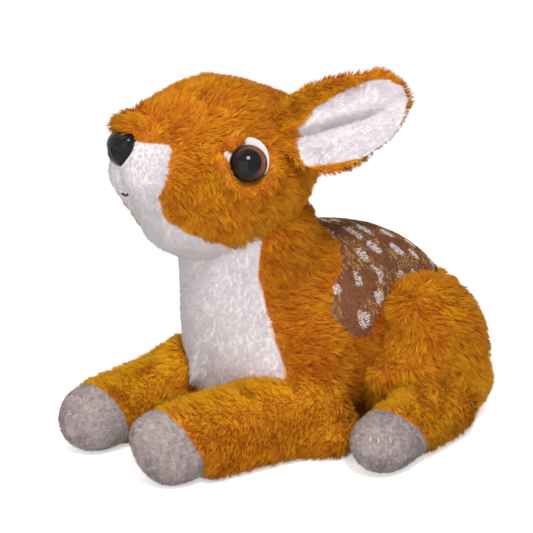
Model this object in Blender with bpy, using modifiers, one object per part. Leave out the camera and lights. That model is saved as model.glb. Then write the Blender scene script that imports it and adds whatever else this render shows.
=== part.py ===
"""A lying fawn, a small stuffed toy, as an assembly of its sewn and moulded pieces.

The toy looks along -Y with its left side at +X. It stands on Z = 0, and the origin is
under the middle of its body. The head is modelled in a frame of its own, round the
middle of the neck, and takes its tilt from the empty that carries it.
"""
import math

import bmesh
import bpy
import numpy as np
from mathutils import Matrix, Vector

MM = 0.001
DEG = math.pi / 180
QUARTER_TURN = 90 * DEG
SMOOTH_ANGLE = 40 * DEG
WELD = 0.001 * MM          # points closer than this become one
UNIT = 1.0                 # side of the cube that a block is drawn out from

# Fits
SEAM_GAP = 0.3 * MM        # between sewn or glued pieces
BALL_PLAY = 0.8 * MM       # between a stuffed ball and its socket
JOINT_PLAY = 0.5 * MM      # between a limb's root and the body
OVERRUN = 60 * MM          # how far a cut runs past what it cuts
FLOOR_CUT = 0.5 * MM       # how much of a form is flattened where it rests

# Body
BODY_BACK = 93 * MM
BODY_FRONT = 42 * MM
BODY_WIDTH = 88 * MM
BODY_HEIGHT = 85 * MM
PANEL_THICKNESS = 3 * MM
BELLY_SQUARE = 0.55          # under 1 the belly lies flatter on what it rests on
BODY_CENTRE_SHARES = (0.43, 0.43, 0.42, 0.435, 0.46, 0.485, 0.489, 0.447, 0.38, 0.353, 0.353)
BODY_TALL_SHARES = (1.3, 1.22, 1.11, 1.03, 1.0, 1.02, 1.07, 1.115, 1.18, 1.37, 1.5)
BODY_WIDE_SHARES = (1.25, 1.15, 1.08, 1.0, 0.97, 1.0, 1.05, 1.07, 1.0, 0.95, 0.9)

# Neck, whose ball is half in the head and half in the body
NECK_FOOT = 15 * MM
NECK_TOP = 106 * MM
NECK_WIDTH = 60 * MM
NECK_DEPTH = 63 * MM
NECK_LEAN = 16 * MM
NECK_PLACE_SHARES = (0.62, 0.69, 0.8, 0.86, 0.95, 1.1, 1.3)
NECK_WIDE_SHARES = (0.8, 0.93, 0.99, 0.98, 0.98, 1.02, 1.06)
NECK_DEEP_SHARES = (0.76, 0.95, 1.02, 1.02, 0.98, 0.98, 1.02)
NECK_BALL = 29 * MM
NECK_BALL_BACK = -19 * MM
NECK_BALL_HEIGHT = 98 * MM
NECK_TILT = 30 * DEG
HEAD_RIM = 96 * DEG
BODY_RIM = 110 * DEG

# Head, in its own frame
HEAD_NOSE = 63 * MM
HEAD_NAPE = 27 * MM
HEAD_WIDTH = 74 * MM
HEAD_HEIGHT = 77 * MM
HEAD_WALL = 9 * MM
HEAD_LIFT = 15 * DEG
HEAD_TURN = 6 * DEG
HEAD_TIP = 8 * DEG
HEAD_CENTRE_SHARES = (0.38, 0.375, 0.31, 0.25, 0.22, 0.205, 0.214, 0.239, 0.254, 0.26, 0.265)
HEAD_TALL_SHARES = (1.45, 1.33, 1.15, 1.07, 1.01, 0.995, 0.955, 0.87, 0.825, 0.93, 1.0)
HEAD_WIDE_SHARES = (1.6, 1.49, 1.24, 1.12, 1.037, 1.0, 0.88, 0.735, 0.71, 0.83, 0.9)
MUZZLE_BACK = HEAD_NOSE * 0.7619
MUZZLE_TOP = HEAD_HEIGHT * 0.2857
CHEEK_HEM = HEAD_HEIGHT * 0.2208
CHEEK_HEM_SHARES = ((1.0, 0.06), (0.96, -0.05), (0.885, -0.38), (0.76, -0.6), (0.54, -0.76),
                    (0.27, -0.9), (0.0, -1.0))

# Eyes
EYE_FORWARD = HEAD_NOSE * 0.3492
EYE_HEIGHT = HEAD_HEIGHT * 0.2532
EYE_OUT = HEAD_WIDTH * 0.473
EYE_RADIUS = 7.6 * MM
EYE_DOME = 5 * MM
EYE_TURN = 27 * DEG
EYE_LOOK_UP = 9 * DEG
SHANK_RADIUS = 1.9 * MM
SHANK_LENGTH = 11 * MM
SHANK_PLAY = 0.3 * MM
WASHER_RADIUS = 6.5 * MM
WASHER_THICKNESS = 1.6 * MM
WASHER_DEPTH = 7.5 * MM
BORE_DEPTH = SHANK_LENGTH * 1.2
ABOVE_EYE = SHANK_LENGTH * 1.4
FELT_LENGTH = 19 * MM
FELT_WIDTH = 16.5 * MM
FELT_THICKNESS = 0.8 * MM
FELT_SHIFT = 1.2 * MM

# Nose and mouth
NOSE_FORWARD = HEAD_NOSE * 0.9286
NOSE_HEIGHT = HEAD_HEIGHT * 0.2468
NOSE_WIDTH = 15 * MM
NOSE_TALL = 15.5 * MM
NOSE_DOME = 7 * MM
STITCH_RADIUS = 0.5 * MM
MOUTH_HEIGHT = HEAD_HEIGHT * 0.0104
MOUTH_HALF = 2.2 * MM
MOUTH_CURVE = 0.25
NOSE_FLARE = 0.22
BUTTON_EDGE = 0.12           # the straight edge of an eye or a nose, as a share of its dome

# Ears, in their own frames: root to tip along the length, the hollow towards the face
EAR_BACK = -HEAD_NAPE * 0.1481
EAR_OUT = HEAD_WIDTH * 0.4324
EAR_UP = HEAD_HEIGHT * 0.4416
EAR_BALL = 6 * MM
EAR_LENGTH = 51 * MM
EAR_WIDTH = 39 * MM
EAR_HOLLOW = 10 * MM
EAR_SHELL = 3 * MM
EAR_LINING = 2 * MM
EAR_RIM = 3.5 * MM
EAR_CLEAR = 2 * MM          # between an ear and the head, so that it can fold
EAR_WIDE_SHARES = (0.42, 0.66, 0.83, 0.93, 0.99, 1.0, 0.96, 0.84, 0.6, 0.12)
EAR_CURL_SHARES = (1.0, 1.15, 1.15, 1.05, 0.95, 0.8, 0.65, 0.45, 0.25, 0.1)
EAR_ALONG_SHARES = {"left": (0.57, 0.68, 0.41), "right": (0.95, 0.3, 0.2)}
EAR_HOLLOW_SHARES = {"left": (0.72, -0.66, -0.1), "right": (0.3, -0.92, 0.3)}

# Front legs, in frames at their shoulders
SHOULDER_OUT = 31 * MM
SHOULDER_BACK = -6 * MM
SHOULDER_RADIUS = 18 * MM
SHOULDER_HEIGHT = 36 * MM
FRONT_LEG_LENGTH = 61 * MM
FRONT_LEG_WIDTH = 32 * MM
FRONT_LEG_HEIGHT = 33 * MM
FRONT_HOOF_LENGTH = 25 * MM
FRONT_TAPER = 0.88
FRONT_SWING_IN = 4 * DEG
FRONT_SWING_OUT = 22 * DEG
FRONT_REST_TURN = {"left": 3 * DEG, "right": 8 * DEG}
FRONT_REACH = {"left": 0 * MM, "right": 4 * MM}

# Hind legs, whose thighs are domes on a sideways axis
HIP_BACK = 50 * MM
HIP_HEIGHT = 35 * MM
HIP_INNER = 26 * MM
HIP_OUTER = 65 * MM
THIGH_RADIUS = 34 * MM
THIGH_SHARES = ((1.0, 0.0), (0.985, 0.3), (0.93, 0.56), (0.83, 0.77), (0.68, 0.92), (0.5, 1.0),
                (0.3, 1.0), (0.12, 0.9), (0.0, 0.64), (0.0, 0.0))
HOCK_OUT = 59 * MM
HOCK_BACK = 46 * MM
HIND_LEG_LENGTH = 34 * MM
HIND_LEG_WIDTH = 28 * MM
HIND_LEG_HEIGHT = 29 * MM
HIND_HOOF_LENGTH = 28 * MM
HIND_TAPER = 0.96
HEEL_LENGTH = 14 * MM
HIND_REST_TURN = {"left": 19 * DEG, "right": 1 * DEG}
HIP_DRAWN_BACK = {"left": 0 * MM, "right": 9 * MM}

# Tail
TAIL_BACK = 92 * MM
TAIL_HEIGHT = 48 * MM
TAIL_BALL = 6.5 * MM
TAIL_LENGTH = 27 * MM
TAIL_WIDTH = 15 * MM
TAIL_DROOP = 52 * DEG

# Saddle and bib outlines
SADDLE_FRONT = -1.4 * MM
SADDLE_POINT = 47.5 * MM
BIB_TOP = 96 * MM
BIB_BACK = 22 * MM

# Inside the body
FILL_BACK = 37 * MM
FILL_LENGTH = 48 * MM
FILL_WIDTH = 38 * MM
FILL_HEIGHT = 32 * MM
BELLY_MARGIN = 3 * MM
BELLY_THICKNESS = 2 * MM
PELLET_HEIGHT = 10 * MM

# Fineness of the meshes
FORM_SIDES = 28
FORM_RINGS = 13
LIMB_SIDES = 20
BALL_SIDES = 28
SMALL_SIDES = 14
SIDES = {"left": 1, "right": -1}

COLLECTION = "lying_fawn"
COLOURS = {
    "orange_plush": ((0.53, 0.19, 0.02), 0.95),
    "white_plush": ((0.84, 0.80, 0.82), 0.95),
    "grey_plush": ((0.36, 0.32, 0.32), 0.95),
    "printed_plush": ((0.15, 0.06, 0.03), 0.95),
    "white_felt": ((0.80, 0.76, 0.80), 0.95),
    "eye_plastic": ((0.02, 0.01, 0.008), 0.08),
    "nose_plastic": ((0.012, 0.012, 0.012), 0.15),
    "washer_plastic": ((0.7, 0.7, 0.68), 0.5),
    "dark_thread": ((0.03, 0.025, 0.025), 0.8),
    "fibre_fill": ((0.75, 0.74, 0.72), 1.0),
    "pellet_cloth": ((0.55, 0.55, 0.52), 0.9),
}


def clear_scene():
    for thing in list(bpy.data.objects):
        bpy.data.objects.remove(thing, do_unlink=True)


def make_collection(name):
    group = bpy.data.collections.new(name)
    bpy.context.scene.collection.children.link(group)
    return group


def make_material(name):
    colour, roughness = COLOURS[name]
    material = bpy.data.materials.get(name) or bpy.data.materials.new(name)
    material.use_nodes = True
    shader = material.node_tree.nodes["Principled BSDF"]
    shader.inputs["Base Color"].default_value = (*colour, 1)
    shader.inputs["Roughness"].default_value = roughness
    shader.inputs["Metallic"].default_value = 0
    return material


class Workshop:
    """The collections that take the pieces and the cutters."""

    def __init__(self):
        self.parts = make_collection(COLLECTION)
        self.cutters = make_collection(COLLECTION + "_cutters")

    def piece(self, name, mesh, material, parent=None):
        mesh.name = name
        thing = bpy.data.objects.new(name, mesh)
        self.parts.objects.link(thing)
        mesh.materials.clear()
        mesh.materials.append(make_material(material))
        thing.parent = parent
        return thing

    def cutter(self, name, mesh, parent=None):
        thing = bpy.data.objects.new(name, mesh)
        self.cutters.objects.link(thing)
        thing.hide_render = True
        thing.display_type = "WIRE"
        thing.parent = parent
        return thing

    def pivot(self, name, place, turn=None, parent=None):
        empty = bpy.data.objects.new(name, None)
        self.parts.objects.link(empty)
        empty.parent = parent
        matrix = turn.to_4x4() if turn is not None else Matrix.Identity(4)
        matrix.translation = place
        empty.matrix_local = matrix
        return empty


def cut(thing, cutter, operation="DIFFERENCE", solver="EXACT"):
    modifier = thing.modifiers.new(cutter.name, "BOOLEAN")
    modifier.operation = operation
    modifier.solver = solver
    modifier.object = cutter


def settled_mesh(thing):
    """The thing's evaluated mesh in its own frame, as a plain mesh."""
    bpy.context.view_layer.update()
    graph = bpy.context.evaluated_depsgraph_get()
    return bpy.data.meshes.new_from_object(thing.evaluated_get(graph))


def settle(thing):
    """Puts the evaluated mesh in place of the modifiers."""
    mesh = settled_mesh(thing)
    thing.modifiers.clear()
    thing.data = mesh


def smoothed(mesh):
    mesh.shade_smooth()
    mesh.set_sharp_from_angle(angle=SMOOTH_ANGLE)
    return mesh


def eased(shares, place):
    """Reads a table of evenly spaced values at places from 0 to 1, on a Catmull-Rom curve."""
    values = np.asarray(shares, float)
    last = len(values) - 1
    at = np.clip(np.asarray(place, float) * last, 0, last - 1e-9)
    low = at.astype(int)
    part = at - low
    before, here, after, later = (values[np.clip(low + k, 0, last)] for k in (-1, 0, 1, 2))
    return 0.5 * (
        2 * here
        + (after - before) * part
        + (2 * before - 5 * here + 4 * after - later) * part ** 2
        + (3 * here - before - 3 * after + later) * part ** 3
    )


def skin(name, rings, start=None, finish=None):
    """A closed skin over rings of equally many points, ended by points or by flat faces."""
    rows, sides = rings.shape[:2]
    work = bmesh.new()
    grid = [[work.verts.new(point) for point in ring] for ring in rings.tolist()]
    for row in range(rows - 1):
        for side in range(sides):
            following = (side + 1) % sides
            work.faces.new((grid[row][side], grid[row][following],
                            grid[row + 1][following], grid[row + 1][side]))
    for ring, tip in ((grid[0], start), (grid[-1], finish)):
        if tip is None:
            work.faces.new(ring)
            continue
        point = work.verts.new(tip)
        for side in range(sides):
            work.faces.new((ring[side], ring[(side + 1) % sides], point))
    bmesh.ops.recalc_face_normals(work, faces=work.faces)
    mesh = bpy.data.meshes.new(name)
    work.to_mesh(mesh)
    work.free()
    return smoothed(mesh)


def swollen_form(name, ends, half_width, half_height, height, tables, inset=0, square=1):
    """An ellipsoid along Y, its rings swelled and raised by tables and squarer below."""
    back, front = ends[0] - inset, ends[1] + inset
    middle, reach = (back + front) / 2, (back - front) / 2
    centre_shares, tall_shares, wide_shares = tables
    place = np.arange(1, FORM_RINGS + 1) / (FORM_RINGS + 1)
    swell = np.sin(np.pi * place)
    wide = half_width * swell * eased(wide_shares, place) - inset * np.sqrt(swell)
    tall = half_height * swell * eased(tall_shares, place) - inset * np.sqrt(swell)
    along = middle + reach * np.cos(np.pi * place)
    up = height * eased(centre_shares, place)
    round_ = np.arange(FORM_SIDES) * 2 * np.pi / FORM_SIDES
    across = np.sign(np.cos(round_)) * np.abs(np.cos(round_)) ** np.where(np.sin(round_) < 0, square, 1)
    rings = np.stack([
        wide[:, None] * across,
        np.repeat(along[:, None], FORM_SIDES, 1),
        up[:, None] + tall[:, None] * np.sin(round_),
    ], 2)
    return skin(name, rings, (0, back, height * centre_shares[0]),
                (0, front, height * centre_shares[-1]))


def body_form(name, inset=0):
    tables = BODY_CENTRE_SHARES, BODY_TALL_SHARES, BODY_WIDE_SHARES
    return swollen_form(name, (BODY_BACK, -BODY_FRONT), BODY_WIDTH / 2, BODY_HEIGHT / 2,
                        BODY_HEIGHT, tables, inset, BELLY_SQUARE)


def head_form(name, inset=0):
    tables = HEAD_CENTRE_SHARES, HEAD_TALL_SHARES, HEAD_WIDE_SHARES
    return swollen_form(name, (HEAD_NAPE, -HEAD_NOSE), HEAD_WIDTH / 2, HEAD_HEIGHT / 2,
                        HEAD_HEIGHT, tables, inset)


def neck_form(name, outset=0):
    """A leaning tube of level rings, flat at both ends."""
    place = np.linspace(0, 1, len(NECK_WIDE_SHARES) * 2 - 1)
    wide = NECK_WIDTH / 2 * eased(NECK_WIDE_SHARES, place) + outset
    deep = NECK_DEPTH / 2 * eased(NECK_DEEP_SHARES, place) + outset
    back = -NECK_LEAN * eased(NECK_PLACE_SHARES, place)
    up = NECK_FOOT + (NECK_TOP - NECK_FOOT) * place
    round_ = np.arange(FORM_SIDES) * 2 * np.pi / FORM_SIDES
    rings = np.stack([
        wide[:, None] * np.cos(round_),
        back[:, None] + deep[:, None] * np.sin(round_),
        np.repeat(up[:, None], FORM_SIDES, 1),
    ], 2)
    return skin(name, rings)


def turned(name, profile, sides=BALL_SIDES):
    """A profile of (radius, height) points, top to bottom, turned round Z by a Screw."""
    mesh = bpy.data.meshes.new(name)
    points = [(radius, 0, height) for radius, height in profile]
    mesh.from_pydata(points, [(k, k + 1) for k in range(len(points) - 1)], [])
    thing = bpy.data.objects.new(name, mesh)
    bpy.context.scene.collection.objects.link(thing)
    screw = thing.modifiers.new("turn", "SCREW")
    screw.steps = screw.render_steps = sides
    screw.use_merge_vertices = True
    screw.merge_threshold = WELD
    screw.use_smooth_shade = True
    result = settled_mesh(thing)
    bpy.data.objects.remove(thing)
    work = bmesh.new()
    work.from_mesh(result)
    bmesh.ops.remove_doubles(work, verts=work.verts, dist=WELD)
    bmesh.ops.dissolve_degenerate(work, edges=work.edges, dist=WELD)
    bmesh.ops.recalc_face_normals(work, faces=work.faces)
    work.to_mesh(result)
    work.free()
    return smoothed(result)


def ball(name, radius, sides=BALL_SIDES):
    mesh = bpy.data.meshes.new(name)
    work = bmesh.new()
    bmesh.ops.create_uvsphere(work, u_segments=sides, v_segments=sides // 2, radius=radius)
    work.to_mesh(mesh)
    work.free()
    return smoothed(mesh)


def ball_cutter(shop, name, radius, pivot):
    return shop.cutter(name, ball(name, radius, SMALL_SIDES), pivot)


def block(name, low, high):
    mesh = bpy.data.meshes.new(name)
    work = bmesh.new()
    bmesh.ops.create_cube(work, size=UNIT)
    low, high = Vector(low), Vector(high)
    size = high - low
    for vert in work.verts:
        vert.co = [low[k] + (vert.co[k] + 0.5) * size[k] for k in range(3)]
    work.to_mesh(mesh)
    work.free()
    return mesh


def prism(name, outline, low, high):
    """An outline seen from the side, as (Y, Z) points, drawn out along X from low to high."""
    return skin(name, np.array([[(end, *point) for point in outline] for end in (low, high)]))


def grown(outline, margin):
    """The outline moved outwards by a margin. Its points run round it, either way."""
    points = np.asarray(outline, float)
    before, after = points - np.roll(points, 1, 0), np.roll(points, -1, 0) - points
    turns = np.sum(points[:, 0] * np.roll(points[:, 1], -1) - points[:, 1] * np.roll(points[:, 0], -1))
    side = 1 if turns > 0 else -1
    normals = []
    for step in (before, after):
        step = step / np.linalg.norm(step, axis=1)[:, None]
        normals.append(np.stack([step[:, 1], -step[:, 0]], 1) * side)
    middle = normals[0] + normals[1]
    middle /= np.sum(middle * normals[0], 1)[:, None]
    return (points + margin * middle).tolist()


def neck_axis():
    return Matrix.Rotation(NECK_TILT, 3, "X")


def ball_middle():
    return Vector((0, NECK_BALL_BACK, NECK_BALL_HEIGHT))


def arc(radius, first, last, steps):
    """Points of (radius, height) on a circle, by the angle from its top."""
    turn = np.linspace(first, last, steps)
    return [(radius * math.sin(a), radius * math.cos(a)) for a in turn]


def above_neck(name, rim):
    """All that lies inside a cone round the neck's axis, and the neck's ball with its play."""
    radius = NECK_BALL + BALL_PLAY
    far = OVERRUN * 2
    line = (far, far / math.tan(rim))
    profile = [(0, far), (far, far), line, *arc(radius, rim, math.pi, BALL_SIDES // 4)[:-1],
               (0, -radius)]
    return turned(name, profile)


def below_head(name, rim):
    """All that lies outside a cone round the neck's axis, and the neck's ball with its play."""
    radius = NECK_BALL + BALL_PLAY
    far = OVERRUN * 2
    line = (far, far / math.tan(rim))
    profile = [(0, radius), *arc(radius, 0, rim, BALL_SIDES // 3)[1:], line, (far, -far),
               (0, -far)]
    return turned(name, profile)


def saddle_outline():
    """The saddle's outline from the side: withers, flank point and rump."""
    point = SADDLE_POINT / BODY_HEIGHT
    shares = ((0.22, 1.15), (0.22, 0.95), (0.145, 0.88), (0.05, 0.79), (0.0, 0.69), (0.06, 0.61),
              (0.13, point), (0.185, point), (0.29, 0.68), (0.44, 0.74), (0.7, 0.7), (0.92, 0.6),
              (1.1, 0.55), (1.1, 1.15))
    reach = BODY_BACK - SADDLE_FRONT
    return [(SADDLE_FRONT + along * reach, up * BODY_HEIGHT) for along, up in shares]


def bib_outline():
    """The bib's outline from the side: it wraps round the throat down to the legs."""
    shares = ((1.27, 1.3), (1.27, 0.81), (1.1, 0.64), (1.02, 0.48), (1.0, 0.38), (1.09, 0.3),
              (1.45, 0.26), (5.0, 0.26), (5.0, 1.3))
    return [(-BIB_BACK * along, up * BIB_TOP) for along, up in shares]


def muzzle_outline():
    """The white of the face from the side: the muzzle, and the jaw below the cheeks."""
    hem = [(-MUZZLE_BACK * along, CHEEK_HEM * up) for along, up in CHEEK_HEM_SHARES]
    return [(-HEAD_NOSE - OVERRUN, MUZZLE_TOP), (-MUZZLE_BACK, MUZZLE_TOP), *hem,
            (OVERRUN, -CHEEK_HEM), (OVERRUN, -OVERRUN), (-HEAD_NOSE - OVERRUN, -OVERRUN)]


def make_torso(shop, tools):
    """The body, with the panels sewn into it and what fills it."""
    neck = shop.cutter("neck_union", neck_form("neck_union"))
    body = shop.piece("body", body_form("body"), "orange_plush")
    cut(body, neck, "UNION")
    settle(body)

    inner = shop.cutter("panel_floor", body_form("panel_floor", PANEL_THICKNESS + SEAM_GAP))
    inner_neck = shop.cutter("panel_floor_neck",
                             neck_form("panel_floor_neck", -PANEL_THICKNESS - SEAM_GAP))
    cut(inner, inner_neck, "UNION")
    settle(inner)
    panel_back = shop.cutter("panel_back", body_form("panel_back", PANEL_THICKNESS))
    panel_back_neck = shop.cutter("panel_back_neck", neck_form("panel_back_neck", -PANEL_THICKNESS))
    cut(panel_back, panel_back_neck, "UNION")
    settle(panel_back)

    flank = BODY_WIDTH / 2 + OVERRUN
    saddle = shop.piece("saddle", body_form("saddle"), "printed_plush")
    shape = prism("saddle_shape", saddle_outline(), -flank, flank)
    cut(saddle, shop.cutter("saddle_shape", shape), "INTERSECT")
    cut(saddle, panel_back, solver="MANIFOLD")
    settle(saddle)
    pocket = prism("saddle_pocket", grown(saddle_outline(), SEAM_GAP), -flank, flank)
    pocket = shop.cutter("saddle_pocket", pocket)
    cut(pocket, inner, solver="MANIFOLD")
    settle(pocket)
    cut(body, pocket, solver="MANIFOLD")

    bib = shop.piece("bib", settled_mesh(body), "white_plush")
    shape = prism("bib_shape", bib_outline(), -flank, flank)
    cut(bib, shop.cutter("bib_shape", shape), "INTERSECT")
    cut(bib, panel_back)
    settle(bib)
    bib_pocket = prism("bib_pocket", grown(bib_outline(), SEAM_GAP), -flank, flank)
    bib_pocket = shop.cutter("bib_pocket", bib_pocket)
    cut(bib_pocket, inner)
    settle(bib_pocket)
    cut(body, bib_pocket)

    for piece in (body, bib):
        cut(piece, tools["above_neck"])
        cut(piece, tools["floor"])
        for side in SIDES:
            cut(piece, tools["shoulder_" + side])
            cut(piece, tools["swing_" + side])
    for side in SIDES:
        cut(body, tools["hip_" + side])
        cut(saddle, tools["hip_" + side])
    cut(saddle, tools["tail"])
    cut(body, tools["tail"])
    make_filling(shop, body)
    return body


def oval_dome(name, inset):
    """A half ellipsoid standing on Z = 0 under the toy's back, with a straight foot."""
    middle = FILL_BACK
    sizes = FILL_WIDTH / 2 - inset, FILL_LENGTH / 2 - inset, FILL_HEIGHT - inset
    place = np.linspace(0, 0.46 * np.pi, 8)
    round_ = np.arange(LIMB_SIDES) * 2 * np.pi / LIMB_SIDES
    across = np.concatenate([[1.0], np.cos(place)])
    up = np.concatenate([[-FLOOR_CUT * 2 - OVERRUN], sizes[2] * np.sin(place)])
    rings = np.stack([
        sizes[0] * across[:, None] * np.cos(round_),
        middle + sizes[1] * across[:, None] * np.sin(round_),
        np.repeat(up[:, None], LIMB_SIDES, 1),
    ], 2)
    return skin(name, rings, None, (0, middle, sizes[2]))


def make_filling(shop, body):
    """The hollow over the belly, with fibre above a bag of pellets, closed by the belly panel."""
    cut(body, shop.cutter("filling_room", oval_dome("filling_room", 0)))
    grow = BELLY_MARGIN / (FILL_WIDTH / 2)
    for name, margin, top in (("belly_panel", 0, BELLY_THICKNESS),
                              ("belly_pocket", SEAM_GAP, BELLY_THICKNESS + SEAM_GAP)):
        wide = FILL_WIDTH / 2 * (1 + grow) + margin
        long = FILL_LENGTH / 2 * (1 + grow) + margin
        low = 0 if name == "belly_panel" else -OVERRUN
        round_ = np.arange(LIMB_SIDES) * 2 * np.pi / LIMB_SIDES
        ring = np.stack([wide * np.cos(round_), FILL_BACK + long * np.sin(round_)], 1)
        rings = np.array([[(*point, end) for point in ring] for end in (low, top)])
        if name == "belly_panel":
            shop.piece(name, skin(name, rings), "orange_plush")
        else:
            cut(body, shop.cutter(name, skin(name, rings)))
    far = OVERRUN + FILL_BACK
    levels = (("pellet_bag", "pellet_cloth", BELLY_THICKNESS + SEAM_GAP, PELLET_HEIGHT),
              ("body_filling", "fibre_fill", PELLET_HEIGHT + SEAM_GAP, FILL_HEIGHT + OVERRUN))
    for name, material, low, high in levels:
        piece = shop.piece(name, oval_dome(name, SEAM_GAP), material)
        slab = block(name + "_slab", (-far, -far, low), (far, far * 2, high))
        slab = shop.cutter(name + "_slab", slab)
        cut(piece, slab, "INTERSECT")


def eye_matrix(side, out=0):
    """Places a turned piece, whose axis is Z, at an eye, moved out along the eye's axis."""
    sign = SIDES[side]
    look = Vector((sign * math.cos(EYE_LOOK_UP) * math.cos(EYE_TURN),
                   -math.cos(EYE_LOOK_UP) * math.sin(EYE_TURN), math.sin(EYE_LOOK_UP)))
    turn = look.to_track_quat("Z", "Y").to_matrix().to_4x4()
    seat = Vector((sign * EYE_OUT, -EYE_FORWARD, EYE_HEIGHT))
    return Matrix.Translation(seat + look * out) @ turn


def nose_matrix(out=0):
    turn = Matrix.Rotation(QUARTER_TURN, 4, "X")
    return Matrix.Translation((0, -NOSE_FORWARD - out, NOSE_HEIGHT)) @ turn


def dome_profile(radius, height, shank, length):
    """A button with a bulging face and a shank behind it, from the top down."""
    face = [(radius * math.sin(a), height * math.cos(a)) for a in np.linspace(0, QUARTER_TURN, 6)]
    edge = -height * BUTTON_EDGE
    return [*face, (radius, edge), (shank, edge), (shank, -length), (0, -length)]


def washer_profile(radius, hole, thickness):
    return [(hole, thickness / 2), (radius, thickness / 2), (radius, -thickness / 2),
            (hole, -thickness / 2), (hole, thickness / 2)]


def rod_profile(radius, high, low):
    return [(0, high), (radius, high), (radius, low), (0, low)]


def placed(mesh, matrix):
    mesh.transform(matrix)
    return mesh


def make_eyes(shop, head_pivot, head, filling):
    """Eyes with shanks through the head to lock washers, over seats of white felt."""
    hole = SHANK_RADIUS + SHANK_PLAY
    felt_top = FELT_THICKNESS + SEAM_GAP
    eye_back = EYE_DOME * BUTTON_EDGE
    for side, sign in SIDES.items():
        at = eye_matrix(side)
        profile = dome_profile(EYE_RADIUS, EYE_DOME, SHANK_RADIUS, SHANK_LENGTH)
        eye = turned("eye_" + side, profile, LIMB_SIDES)
        eye.transform(eye_matrix(side, felt_top + SEAM_GAP + eye_back))
        shop.piece("eye_" + side, eye, "eye_plastic", head_pivot)
        profile = washer_profile(WASHER_RADIUS, hole, WASHER_THICKNESS)
        washer = turned("eye_washer_" + side, profile, LIMB_SIDES)
        washer.transform(eye_matrix(side, -WASHER_DEPTH - WASHER_THICKNESS / 2))
        shop.piece("eye_washer_" + side, washer, "washer_plastic", head_pivot)

        felt = flat_oval("eye_felt_" + side, FELT_LENGTH / 2, FELT_WIDTH / 2, SEAM_GAP, felt_top)
        felt.transform(Matrix.Translation((0, FELT_SHIFT, 0)))
        felt.transform(at)
        felt = shop.piece("eye_felt_" + side, felt, "white_felt", head_pivot)
        bore = turned("eye_bore_" + side, rod_profile(hole, ABOVE_EYE, -BORE_DEPTH), SMALL_SIDES)
        bore = shop.cutter("eye_bore_" + side, placed(bore, at), head_pivot)
        cut(felt, bore)
        seat = flat_oval("eye_seat_" + side, FELT_LENGTH / 2 + SEAM_GAP,
                         FELT_WIDTH / 2 + SEAM_GAP, 0, ABOVE_EYE)
        seat.transform(Matrix.Translation((0, FELT_SHIFT, 0)))
        seat.transform(at)
        cut(head, shop.cutter("eye_seat_" + side, seat, head_pivot))
        cut(head, bore)
        room = rod_profile(WASHER_RADIUS + SEAM_GAP, -WASHER_DEPTH + SEAM_GAP, -BORE_DEPTH)
        room = placed(turned("washer_room_" + side, room, LIMB_SIDES), at)
        room = shop.cutter("washer_room_" + side, room, head_pivot)
        cut(head, room)
        cut(filling, room)


def flat_oval(name, half_long, half_wide, low, high):
    """An oval plate in the XY plane, longer along Y."""
    round_ = np.arange(LIMB_SIDES) * 2 * np.pi / LIMB_SIDES
    ring = np.stack([half_wide * np.cos(round_), half_long * np.sin(round_)], 1)
    return skin(name, np.array([[(*point, end) for point in ring] for end in (low, high)]))


def nose_shaped(mesh):
    """Turns a round piece into the nose's outline, wide at the top. Its shank stays round."""
    for vert in mesh.vertices:
        if math.hypot(vert.co.x, vert.co.y) > NOSE_WIDTH / 4:
            vert.co.x *= 1 + NOSE_FLARE * vert.co.y / (NOSE_WIDTH / 2)
            vert.co.y *= NOSE_TALL / NOSE_WIDTH
    mesh.transform(nose_matrix())
    return mesh


def make_nose(shop, head_pivot, face):
    """A moulded nose with its shank through the face to a washer behind."""
    hole = SHANK_RADIUS + SHANK_PLAY
    reach = NOSE_FORWARD - MUZZLE_BACK
    profile = dome_profile(NOSE_WIDTH / 2, NOSE_DOME, SHANK_RADIUS, reach - WASHER_THICKNESS)
    nose = nose_shaped(turned("nose", profile, LIMB_SIDES))
    shop.piece("nose", nose, "nose_plastic", head_pivot)
    washer = turned("nose_washer", washer_profile(WASHER_RADIUS, hole, WASHER_THICKNESS), LIMB_SIDES)
    washer.transform(nose_matrix(-reach + WASHER_THICKNESS * 1.5))
    shop.piece("nose_washer", washer, "washer_plastic", head_pivot)

    seat = rod_profile(NOSE_WIDTH / 2 + SEAM_GAP * 2, OVERRUN, -NOSE_DOME * BUTTON_EDGE - SEAM_GAP)
    bore = rod_profile(hole, OVERRUN, -OVERRUN / 2)
    room_top = -reach + WASHER_THICKNESS * 2 + SEAM_GAP
    room = rod_profile(WASHER_RADIUS + SEAM_GAP, room_top, room_top - OVERRUN / 2)
    shapes = {
        "nose_seat": nose_shaped(turned("nose_seat", seat, LIMB_SIDES)),
        "nose_bore": placed(turned("nose_bore", bore, SMALL_SIDES), nose_matrix()),
        "nose_washer_room": placed(turned("nose_washer_room", room, LIMB_SIDES), nose_matrix()),
    }
    for name, shape in shapes.items():
        cutter = shop.cutter(name, shape, head_pivot)
        for piece in face:
            cut(piece, cutter)


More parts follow.
